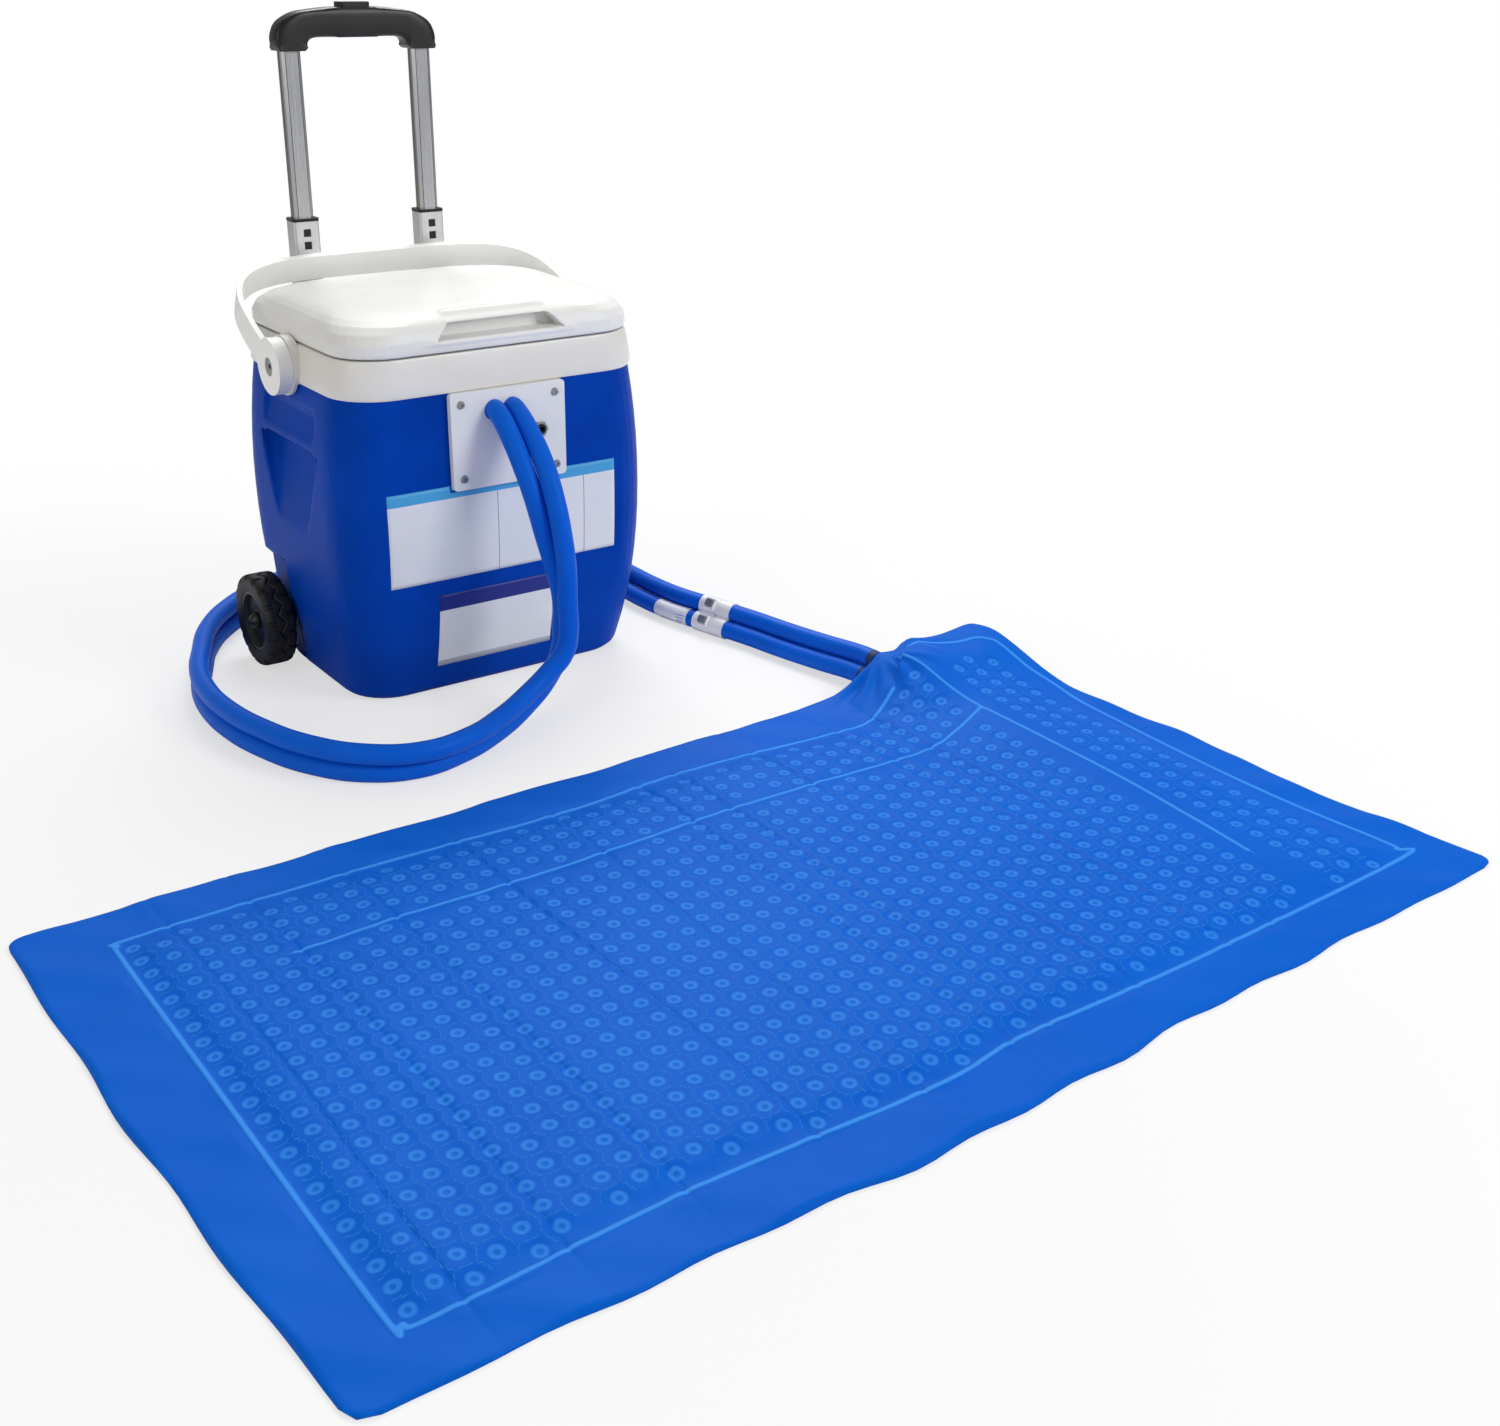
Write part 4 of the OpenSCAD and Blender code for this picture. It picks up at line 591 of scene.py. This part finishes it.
def labelFilm(name, look):
    # printed polypropylene film: satin white with a flat colour band, faintly rippled by the grain
    material, tree = startMaterial(name)
    coords = addNode(tree, "TexCoord").outputs["Object"]
    places = addNode(tree, "SeparateXYZ", {}, {0: coords})
    left, right, bottom, top = [v / 1000 for v in look["box"]]
    header = addNode(tree, "Math", {"operation": "GREATER_THAN", 1: top - look["header"] / 1000},
                     {0: places.outputs[2]}).outputs[0]
    footer = addNode(tree, "Math", {"operation": "LESS_THAN", 1: bottom + look["footer"] / 1000},
                     {0: places.outputs[2]}).outputs[0]
    wash = addNode(tree, "TexNoise", {"Scale": 1000 / 50}, {"Vector": coords}).outputs[0]
    paper = addNode(tree, "Mix", {"data_type": "RGBA", 6: hexColour(look["paper"]),
                                  7: hexColour("#dfe3ea")}, {0: wash}).outputs[2]
    for rule in look["rules"]:  # a thin printed line between columns
        near = addNode(tree, "Math", {"operation": "COMPARE", 1: rule / 1000, 2: 0.0005},
                       {0: places.outputs[0]}).outputs[0]
        paper = addNode(tree, "Mix", {"data_type": "RGBA", 7: hexColour("#9aa3b0")},
                        {0: near, 6: paper}).outputs[2]
    paper = addNode(tree, "Mix", {"data_type": "RGBA", 7: hexColour(look["foot"])},
                    {0: footer, 6: paper}).outputs[2]
    paper = addNode(tree, "Mix", {"data_type": "RGBA", 7: hexColour(look["band"])},
                    {0: header, 6: paper}).outputs[2]
    grain = addNode(tree, "TexVoronoi", {"feature": "SMOOTH_F1", "Scale": 1000 / 1.7},
                    {"Vector": coords}).outputs[0]
    bump = addNode(tree, "Bump", {"Strength": 0.12, "Distance": 0.0002},
                   {"Height": grain}).outputs[0]
    finishMaterial(tree, {"Roughness": 0.38, "IOR": 1.49, "Specular IOR Level": 0.25},
                   {"Base Color": paper, "Normal": bump})
    return material


shellTree = BVHTree.FromPolygons([v.co for v in nodes["outer_shell"].data.vertices],
                                 [p.vertices for p in nodes["outer_shell"].data.polygons])


def layLabel(name):
    look = labelSetup[name]
    left, right, bottom, top = [v / 1000 for v in look["box"]]
    across, high = right - left, top - bottom
    cell = labelSetup["cell"] / 1000
    bm = bmesh.new()
    bmesh.ops.create_grid(bm, x_segments=round(across / cell), y_segments=round(high / cell),
                          size=0.5)
    bmesh.ops.transform(bm, matrix=Matrix.Translation(((left + right) / 2, -0.2,
                                                       (bottom + top) / 2))
                        @ Matrix.Rotation(math.pi / 2, 4, "X")
                        @ Matrix.Diagonal((across, high, 1, 1)), verts=bm.verts)
    plateLow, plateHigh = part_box("front_plate")
    behind = [f for f in bm.faces if f.calc_center_median().z > plateLow.z + 0.001
              and abs(f.calc_center_median().x) < plateHigh.x - 0.003]
    bmesh.ops.delete(bm, geom=behind, context="FACES")
    for vert in bm.verts:
        hit = shellTree.ray_cast(vert.co, Vector((0, 1, 0)))[0]
        vert.co.y = hit.y - 0.00006
    piece = newPiece(name, bm, "cooler", labelFilm(name + "_film", look), 40)
    wall = piece.modifiers.new("wall", "SOLIDIFY")
    wall.thickness = labelSetup["thickness"]
    wall.offset = 1


for name in ("label_upper", "label_lower"):
    layLabel(name)
print("labels laid")

# ---------- wrap tag on the lower hose ----------
tagSetup = {"near": (-0.049, -0.099), "wrap": 125, "gap": 0.00015, "thickness": 0.0002,
            "colour": "#f5f5f5"}


def wrapTag():
    # a rounded flat blank is rolled round the hose, open at the back
    dense = hoseFrames(mainRoute, 600, -1, outWay, runWay)
    back, front = tagSetup["near"]
    span = [f for f in dense if f[0].x > 0.2 and front < f[0].y < back]
    bm = bmesh.new()
    bmesh.ops.create_grid(bm, x_segments=24, y_segments=36, size=1)
    radius = hoseSetup["diameter"] / 2 + tagSetup["gap"]
    for vert in bm.verts:
        u, v = vert.co.x, vert.co.y
        corner = 0.16
        u = u * min(1, 1 - corner * max(0, (abs(v) - (1 - corner)) / corner) ** 3 * 0.6)
        centre, way, pair = span[round((v + 1) / 2 * (len(span) - 1))]
        angle = math.radians(tagSetup["wrap"]) * u
        side = way.cross(pair)
        vert.co = centre + radius * (math.cos(angle) * side + math.sin(angle) * pair)
    material, tree = startMaterial("tag_film_white")
    coords = addNode(tree, "TexCoord").outputs["Object"]
    wash = addNode(tree, "TexNoise", {"Scale": 1000 / 12, "Detail": 3},
                   {"Vector": coords}).outputs[0]
    colour = addNode(tree, "Mix", {"data_type": "RGBA", 6: hexColour("#f0f0f2"),
                                   7: hexColour(tagSetup["colour"])}, {0: wash}).outputs[2]
    bump = addNode(tree, "Bump", {"Strength": 0.2, "Distance": 0.0003},
                   {"Height": wash}).outputs[0]
    finishMaterial(tree, {"Roughness": 0.36, "IOR": 1.49}, {"Base Color": colour, "Normal": bump})
    piece = newPiece("hose_wrap_tag", bm, "cooler", material, 60)
    wall = piece.modifiers.new("wall", "SOLIDIFY")
    wall.thickness = tagSetup["thickness"]
    wall.offset = 1
    return piece


tag = wrapTag()
print("tag wrapped")

# ---------- therapy pad ----------
padSetup = {
    "size": (1.04, 0.585), "round": 0.014,   # flat size, and radius of the outline's corners
    "corners": ((-0.549, -0.938), (0.490, -0.925), (0.447, -0.345), (-0.564, -0.355)),
    "cell": 0.0019,
    "edge": 0.003, "field": 0.0075, "swell": 0.034,   # thickness at the rim, inside, and run up
    "seamClear": 0.0085, "ridgeClear": 0.011,         # no weld is nearer than this
    "columns": 39, "pitch": (0.02074, 0.0209), "first": (-0.4896, -0.4208),
    "extraColumns": (0.350, 0.373, 0.397),
    "weld": 0.0056,                      # outer radius of a weld ring
    "creases": (-0.458, -0.390, -0.308, -0.210, -0.122, -0.032, 0.008, 0.097, 0.196, 0.240),
}
# the welded lines, as points in metres
borderSeam = [(0.276, -0.396), (0.257, -0.404), (0.236, -0.412), (0.216, -0.415),
              (0.160, -0.411), (0.025, -0.402), (-0.112, -0.410), (-0.287, -0.404),
              (-0.482, -0.405), (-0.497, -0.411), (-0.500, -0.425), (-0.501, -0.600),
              (-0.503, -0.870), (-0.497, -0.888), (-0.475, -0.893), (-0.300, -0.886),
              (-0.112, -0.893), (-0.019, -0.884), (0.150, -0.886), (0.425, -0.878),
              (0.436, -0.866), (0.439, -0.852), (0.429, -0.740), (0.428, -0.614),
              (0.434, -0.502), (0.436, -0.461), (0.432, -0.422), (0.428, -0.385),
              (0.422, -0.376), (0.411, -0.368), (0.389, -0.365), (0.369, -0.358),
              (0.350, -0.352), (0.330, -0.354)]
middleSeam = [(-0.394, -0.498), (-0.300, -0.496), (-0.125, -0.497), (0, -0.491),
              (0.100, -0.494), (0.225, -0.497), (0.274, -0.489), (0.318, -0.476)]
ridgeSeam = [(0.305, -0.372), (0.313, -0.400), (0.319, -0.440), (0.321, -0.476),
             (0.325, -0.560), (0.327, -0.636), (0.327, -0.713), (0.320, -0.802)]
ridgeRise = [(-0.880, 0), (-0.802, 0.002), (-0.713, 0.005), (-0.636, 0.009), (-0.560, 0.012),
             (-0.476, 0.014), (-0.400, 0.012), (-0.345, 0.007)]


def smoothLine(points, steps=5):
    rows = [Vector((*p, 0)) for p in points]
    total = (len(rows) - 1) * steps
    return np.array([curvePoint(rows, k / steps)[:2] for k in range(total + 1)])


def lineOffset(x, y, line):
    # signed distance from each place to the nearest stretch of the line
    best = np.full(x.shape, 9.0)
    for (ax, ay), (bx, by) in zip(line, line[1:]):
        dx, dy = bx - ax, by - ay
        t = np.clip(((x - ax) * dx + (y - ay) * dy) / (dx * dx + dy * dy), 0, 1)
        far = np.hypot(x - ax - t * dx, y - ay - t * dy)
        side = np.where(dx * (y - ay) - dy * (x - ax) < 0, -1.0, 1.0)
        best = np.where(far < np.abs(best), far * side, best)
    return best


def insideLine(x, y, line):
    # even-odd test against the closed line
    odd = np.zeros(x.shape, bool)
    for (ax, ay), (bx, by) in zip(line, np.roll(line, -1, axis=0)):
        crossing = (ay > y) != (by > y)
        reach = ax + (y - ay) * (bx - ax) / ((by - ay) or 1e-12)
        odd ^= crossing & (x < reach)
    return odd


def padPlan(u, v):
    # the four corners, rounded, with sides that waver as the laid pad's do
    (wide, deep), radius = padSetup["size"], padSetup["round"]
    reachU = np.abs(u - 0.5) * wide - (wide / 2 - radius)
    reachV = np.abs(v - 0.5) * deep - (deep / 2 - radius)
    corner = (reachU > 0) & (reachV > 0)
    shrink = np.maximum(reachU, reachV) / np.maximum(np.hypot(reachU, reachV), 1e-9)
    newU = 0.5 + np.sign(u - 0.5) * (wide / 2 - radius + reachU * shrink) / wide
    newV = 0.5 + np.sign(v - 0.5) * (deep / 2 - radius + reachV * shrink) / deep
    u, v = np.where(corner, newU, u), np.where(corner, newV, v)
    (ax, ay), (bx, by), (cx, cy), (dx, dy) = padSetup["corners"]
    x = (ax * (1 - u) + bx * u) * (1 - v) + (dx * (1 - u) + cx * u) * v
    y = (ay * (1 - u) + by * u) * (1 - v) + (dy * (1 - u) + cy * u) * v
    bottom = (1 - v) ** 3 * np.sin(np.pi * u) ** 0.7
    y = y - bottom * (0.004 + 0.010 * np.exp(-((x + 0.13) / 0.16) ** 2)
                      + 0.0022 * np.sin(x * 62) + 0.0015 * np.sin(x * 33 + 1))
    y = y + v ** 4 * np.sin(np.pi * u) * (0.0018 * np.sin(x * 41) - 0.002)
    y = y + 0.010 * v ** 6 * ease((x - 0.315) / 0.04) * ease((0.47 - x) / 0.04)
    x = x - (1 - u) ** 4 * np.sin(np.pi * v) * (0.006 + 0.002 * np.sin(y * 38))
    x = x - u ** 4 * np.sin(np.pi * v) * (0.004 + 0.006 * np.sin(y * 17 + 2.2))
    return x, y


def padLift(x, y):
    # how far the back right corner stands off the floor, as in the CAD solid
    px, py = (x + 0.549) * 1000, (y + 0.938) * 1000
    lift = 0.026 * ease((px - 800) / 240) * ease((py - 430) / 155)
    hump = 0.027 * np.exp(-((px - 850) / 46) ** 2) * ease((py - 470) / 115)
    hump += 0.014 * ease((px - 858) / 40) * ease((1030 - px) / 60) * ease((py - 500) / 90)
    return lift, hump


def padRidge(x, y):
    # a fold that the pad keeps from its packing: steep on the left, long on the right
    line = np.array(ridgeSeam)[::-1]
    along = np.interp(y, line[:, 1], line[:, 0])
    rise = np.interp(y, [p[0] for p in ridgeRise], [p[1] for p in ridgeRise])
    left = np.clip((x - 0.232) / np.maximum(along - 0.232, 1e-4), 0, 1)
    fall = np.clip((x - along) / (0.47 - along), 0, 1)
    return rise * np.where(x < along, left ** 1.25, 1 - 0.75 * ease(fall))


def softMax(a, b, k):
    return np.maximum(a, b) + np.maximum(k - np.abs(a - b), 0) ** 2 / (4 * k)


def padTop(x, y, u, v):
    border, middle, ridge = [smoothLine(s) for s in (borderSeam, middleSeam, ridgeSeam)]
    borderOff = np.abs(lineOffset(x, y, border))
    borderOff = np.where(insideLine(x, y, border), borderOff, -borderOff)
    middleOff, ridgeOff = lineOffset(x, y, middle), lineOffset(x, y, ridge)
    inner = np.where(np.abs(middleOff) < np.abs(ridgeOff), middleOff, ridgeOff)
    lift, hump = padLift(x, y)
    # air and water swell the field between the welds
    thick = padSetup["edge"] + (padSetup["field"] - padSetup["edge"]) * ease(
        borderOff / padSetup["swell"])
    thick -= 0.0014 * np.exp(-(middleOff / 0.006) ** 2) * ease(borderOff / 0.014 + 0.4)
    thick -= 0.0008 * np.exp(-(ridgeOff / 0.004) ** 2)
    nearest = np.full(x.shape, 9.0)
    offset = np.zeros((len(x), 3))
    pitchX, pitchY = padSetup["pitch"]
    startX, startY = padSetup["first"]
    columns = [startX + n * pitchX for n in range(padSetup["columns"])]
    welds = 0
    for n, cx in enumerate(columns + list(padSetup["extraColumns"])):
        slip = (pitchY / 2 if n % 2 else 0) + 0.0012 * math.sin(n * 1.7)
        rows = [(cx + 0.0005 * math.sin(m * 2.1 + n), startY + pitchY - slip - m * pitchY)
                for m in range(26)]
        spots = np.array(rows)
        clear = [min(abs(lineOffset(spots[:, 0], spots[:, 1], s)[m]) for s in (border, middle))
                 for m in range(len(rows))]
        nearRidge = np.abs(lineOffset(spots[:, 0], spots[:, 1], ridge))
        within = insideLine(spots[:, 0], spots[:, 1], border)
        strip = np.abs(x - cx) < 0.014
        for m, (sx, sy) in enumerate(rows):
            if (not within[m] or clear[m] < padSetup["seamClear"]
                    or nearRidge[m] < padSetup["ridgeClear"]):
                continue
            if sy > -0.395 and sx < 0.335:
                continue                 # the bunched inlet has no welds
            welds += 1
            close = strip & (np.abs(y - sy) < 0.014)
            gx, gy = x[close] - sx, y[close] - sy
            far = np.hypot(gx, gy)
            better = far < nearest[close]
            ids = np.nonzero(close)[0][better]
            nearest[ids] = far[better]
            offset[ids, 0], offset[ids, 1] = gx[better], gy[better]
    size = padSetup["weld"]
    thick -= 0.0016 * np.exp(-(np.minimum(nearest, 1) / (1.35 * size)) ** 2)
    thick += 0.0006 * np.exp(-((np.minimum(nearest, 1) - 0.62 * size) / 0.0014) ** 2)
    offset[:, 2] = np.minimum(nearest, 0.05)
    offset[nearest > 0.03, 0] = 0.03
    # seams stand a little proud as welded beads
    thick += 0.0008 * np.exp(-(borderOff / 0.0014) ** 2) + 0.0009 * np.exp(-(inner / 0.0014) ** 2)
    # folds left from packing, across the whole pad
    for k, place in enumerate(padSetup["creases"]):
        bend = place + 0.003 * np.sin(y * 9 + k) + 0.015 * (k == 9) * (-0.43 - y)
        sharp = 0.3 + 0.7 * ease(borderOff / 0.010 + 1)
        thick -= 0.0012 * sharp * np.exp(-((x - bend) / 0.0015) ** 2)
        thick += 0.0006 * sharp * np.exp(-(np.abs(x - bend) - 0.008) ** 2 / 0.00004)
    # soft undulation of the flat border
    wave = (np.sin(x * 47 + 3 * np.sin(y * 13)) + np.sin(y * 58 + 2 * np.sin(x * 11) + 1.3)
            + np.sin((x + y) * 83))
    outside = 1 - ease(borderOff / 0.010 + 1)
    thick += 0.0007 * (wave + 1) * outside
    thick += 0.0005 * np.sin(x * 31 + 2 * np.sin(y * 17)) * ease(borderOff / 0.02)
    # the rim is rounded
    wide, deep = padSetup["size"]
    rim = np.minimum.reduce([u * wide, (1 - u) * wide, v * deep, (1 - v) * deep])
    thick *= 0.45 + 0.55 * np.sqrt(np.clip(rim / 0.0035, 0, 1))
    top = lift + hump + padRidge(x, y) + thick
    # two sleeves of the cover run over the hose ends
    for cx, cz, slide, drop in ((0.2979, 0.0300, 0.10, 0.36), (0.2861, 0.0140, -0.06, 0.22)):
        back = -0.346 - y
        middleX = cx + slide * np.maximum(back, 0)
        radius = 0.0106 + 0.05 * np.maximum(back, 0)
        lobe = cz - drop * np.maximum(back, 0) + np.sqrt(
            np.maximum(radius ** 2 - (x - middleX) ** 2, 0))
        lobe = np.where((np.abs(x - middleX) < radius) & (back > -0.004) & (back < 0.07), lobe, 0)
        top = softMax(top, lobe, 0.004)
    # gathers that fan out from the sleeves
    reach = np.hypot(x - 0.296, y + 0.345)
    fan = np.arctan2(y + 0.345, x - 0.296)
    gathers = np.exp(-((reach - 0.040) / 0.026) ** 2) * ease((reach - 0.012) / 0.02)
    top += 0.0016 * gathers * np.sin(fan * 15 + reach * 30) * (1 + 0.6 * np.sin(fan * 4))
    print("pad welds:", welds)
    return top, borderOff, inner, offset


def makePad():
    bm = bmesh.new()
    across, along = [round(side / padSetup["cell"]) for side in padSetup["size"]]
    bmesh.ops.create_grid(bm, x_segments=across, y_segments=along, size=0.5)
    top = bpy.data.meshes.new("padTop")
    bm.to_mesh(top)
    bm.free()
    places = np.zeros(len(top.vertices) * 3, np.float32)
    top.vertices.foreach_get("co", places)
    places = places.reshape(-1, 3).astype(float)
    u, v = places[:, 0] + 0.5, places[:, 1] + 0.5
    x, y = padPlan(u, v)
    z, borderOff, inner, offset = padTop(x, y, u, v)
    top.vertices.foreach_set("co", np.stack([x, y, z], 1).astype(np.float32).ravel())
    bm = bmesh.new()
    bm.from_mesh(top)
    bpy.data.meshes.remove(top)
    count = len(bm.verts)
    rimEdges = [e for e in bm.edges if e.is_boundary]
    # a coarse underside on the floor, joined to the rim
    lower = bmesh.new()
    bmesh.ops.create_grid(lower, x_segments=64, y_segments=36, size=0.5)
    bmesh.ops.reverse_faces(lower, faces=lower.faces)
    for vert in lower.verts:
        lu, lv = np.array([vert.co.x + 0.5]), np.array([vert.co.y + 0.5])
        lx, ly = padPlan(lu, lv)
        lift, hump = padLift(lx, ly)
        base = lift + 0.6 * hump + 0.75 * padRidge(lx, ly)
        vert.co = (lx[0], ly[0], max(base[0] - 0.0004, 0) + 0.0002)
    under = bpy.data.meshes.new("padUnder")
    lower.to_mesh(under)
    lower.free()
    bm.from_mesh(under)
    bpy.data.meshes.remove(under)
    bm.verts.index_update()
    lowRim = [e for e in bm.edges if e.is_boundary and e.verts[0].index >= count]
    bmesh.ops.bridge_loops(bm, edges=rimEdges + lowRim)
    bmesh.ops.recalc_face_normals(bm, faces=bm.faces)
    piece = newPiece("therapy_pad", bm, "cooler", padVinyl, 70)
    mesh = piece.data
    total = len(mesh.vertices)
    for label, values in (("borderSeam", borderOff), ("innerSeam", inner)):
        layer = mesh.attributes.new(label, "FLOAT", "POINT")
        layer.data.foreach_set("value", np.concatenate(
            [values, np.full(total - count, 0.1)]).astype(np.float32))
    layer = mesh.attributes.new("weldOffset", "FLOAT_VECTOR", "POINT")
    rest = np.full((total - count, 3), 0.03)
    layer.data.foreach_set("vector", np.concatenate([offset, rest]).astype(np.float32).ravel())
    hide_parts("pad")
    return piece


def sealedVinyl():
    # polyurethane-coated nylon, heat sealed: matt blue cloth, welds and beads paler and smoother
    material, tree = startMaterial("nylon_coated_heat_sealed")
    coords = addNode(tree, "TexCoord").outputs["Object"]
    cloud = addNode(tree, "TexNoise", {"Scale": 1000 / 120, "Detail": 3},
                    {"Vector": coords}).outputs[0]
    colour = addNode(tree, "Mix", {"data_type": "RGBA", 6: hexColour("#0459c6"),
                                   7: hexColour("#0764d2")}, {0: cloud}).outputs[2]
    pale = []
    for label, half in (("borderSeam", 0.0030), ("innerSeam", 0.0027)):
        line = addNode(tree, "Attribute", {"attribute_name": label}).outputs["Fac"]
        away = addNode(tree, "Math", {"operation": "ABSOLUTE"}, {0: line}).outputs[0]
        edges = {"interpolation_type": "SMOOTHSTEP", "From Min": half * 0.3, "From Max": half,
                 "To Min": 1.0, "To Max": 0.0}
        pale.append(addNode(tree, "MapRange", edges, {"Value": away}).outputs[0])
    spot = addNode(tree, "Attribute", {"attribute_name": "weldOffset"}).outputs["Vector"]
    flat = addNode(tree, "Mapping", {"Scale": (1, 1, 0)}, {"Vector": spot}).outputs[0]
    far = addNode(tree, "VectorMath", {"operation": "LENGTH"}, {0: flat}).outputs["Value"]
    weld = padSetup["weld"]
    # a ring that is high on the rim, with a small pit in its middle
    ring = addRamp(tree, [(0.0, 0.25), (0.26, 0.3), (0.44, 1.0), (0.74, 0.9), (1.0, 0.0)],
                   addNode(tree, "MapRange", {"From Max": weld * 1.12}, {"Value": far}).outputs[0])
    pale.append(addNode(tree, "Math", {"operation": "MULTIPLY", 1: 0.62},
                        {0: ring.outputs[0]}).outputs[0])
    raised = pale[0]
    for other in pale[1:]:
        raised = addNode(tree, "Math", {"operation": "MAXIMUM"}, {0: raised, 1: other}).outputs[0]
    tone = addNode(tree, "Math", {"operation": "MULTIPLY", 1: 0.85}, {0: raised}).outputs[0]
    colour = addNode(tree, "Mix", {"data_type": "RGBA", 7: hexColour("#3d93f0")},
                     {0: tone, 6: colour}).outputs[2]
    weave = addNode(tree, "TexNoise", {"Scale": 1000 / 1.6, "Detail": 3, "Roughness": 0.6},
                    {"Vector": coords}).outputs[0]
    weaveBump = addNode(tree, "Bump", {"Strength": 0.25, "Distance": 0.0003},
                        {"Height": weave}).outputs[0]
    bump = addNode(tree, "Bump", {"Strength": 0.6, "Distance": 0.0009},
                   {"Height": raised, "Normal": weaveBump}).outputs[0]
    finishMaterial(tree, {"Roughness": 0.5, "IOR": 1.48, "Specular IOR Level": 0.07,
                          "Specular Tint": hexColour("#9cc4ff")},
                   {"Base Color": colour, "Normal": bump})
    return material


padVinyl = sealedVinyl()
pad = makePad()
print("pad made:", len(pad.data.polygons), "faces")

# ---------- floor, lights, world ----------
studio = {
    "floor": 30, "floorColour": "#ededed",
    # the camera sees plain white mixed in: share near the object and far off, in metres
    "middle": (-0.05, -0.35, 0), "near": (0.5, 0.6), "far": (1.5, 1.0),
    "key": {"place": (1.5, -2.6, 1.7), "target": (0, -0.2, 0.2), "size": 1.3, "power": 46},
    "fill": {"place": (-2.6, -0.9, 1.3), "target": (0, -0.1, 0.25), "size": 1.6, "power": 17,
             "colour": (1.0, 0.95, 0.87)},
    "back": {"place": (1.1, 1.5, 2.4), "target": (0.25, -0.5, 0), "size": 1.6, "power": 62},
    "world": 0.36,
}
bm = bmesh.new()
bmesh.ops.create_grid(bm, x_segments=1, y_segments=1, size=studio["floor"] / 2)
floorMesh = bpy.data.meshes.new("floor")
bm.to_mesh(floorMesh)
bm.free()
floor = bpy.data.objects.new("floor", floorMesh)
scene.collection.objects.link(floor)
material, tree = startMaterial("paper_floor")
# matt white paper: its shadow stays, and the camera sees it run out to plain white
coords = addNode(tree, "TexCoord").outputs["Object"]
fleck = addNode(tree, "TexNoise", {"Scale": 3.0}, {"Vector": coords}).outputs[0]
tint = addNode(tree, "Mix", {"data_type": "RGBA", 6: hexColour(studio["floorColour"]),
                             7: hexColour("#f0f0f0")}, {0: fleck}).outputs[2]
matt = addNode(tree, "BsdfDiffuse", {}, {"Color": tint})
plain = addNode(tree, "Emission", {"Color": (1, 1, 1, 1), "Strength": 1.0})
rays = addNode(tree, "LightPath")
middle = addNode(tree, "VectorMath", {"operation": "DISTANCE", 1: studio["middle"]},
                 {0: coords}).outputs["Value"]
(nearReach, nearShare), (farReach, farShare) = studio["near"], studio["far"]
outer = addNode(tree, "MapRange", {"interpolation_type": "SMOOTHSTEP", "From Min": nearReach,
                                   "From Max": farReach, "To Min": nearShare, "To Max": farShare},
                {"Value": middle}).outputs[0]
share = addNode(tree, "Math", {"operation": "MULTIPLY"},
                {0: outer, 1: rays.outputs["Is Camera Ray"]})
both = addNode(tree, "MixShader", {}, {0: share.outputs[0], 1: matt.outputs[0],
                                       2: plain.outputs[0]})
addNode(tree, "OutputMaterial", {}, {"Surface": both.outputs[0]})
floorMesh.materials.append(material)

world = bpy.data.worlds.new("studio")
scene.world = world
world.use_nodes = True
tree = world.node_tree
tree.nodes.clear()
rays = addNode(tree, "LightPath")
seen = addNode(tree, "Math", {"operation": "MAXIMUM"},
               {0: rays.outputs["Is Camera Ray"], 1: rays.outputs["Is Transmission Ray"]})
dim = addNode(tree, "Background", {"Color": (1, 1, 1, 1), "Strength": studio["world"]})
bright = addNode(tree, "Background", {"Color": (1, 1, 1, 1), "Strength": 1.0})
both = addNode(tree, "MixShader", {}, {0: seen.outputs[0], 1: dim.outputs[0],
                                       2: bright.outputs[0]})
addNode(tree, "OutputWorld", {}, {"Surface": both.outputs[0]})

for name in ("key", "fill", "back"):
    look = studio[name]
    lamp = bpy.data.lights.new(name, "AREA")
    lamp.size = look["size"]
    lamp.energy = look["power"]
    lamp.color = look.get("colour", (1, 1, 1))
    holder = bpy.data.objects.new(name, lamp)
    aim = Vector(look["target"]) - Vector(look["place"])
    holder.rotation_euler = aim.to_track_quat("-Z", "Y").to_euler()
    holder.location = look["place"]
    scene.collection.objects.link(holder)

scene.view_settings.view_transform = "Standard"
print("studio set")

bpy.context.view_layer.update()
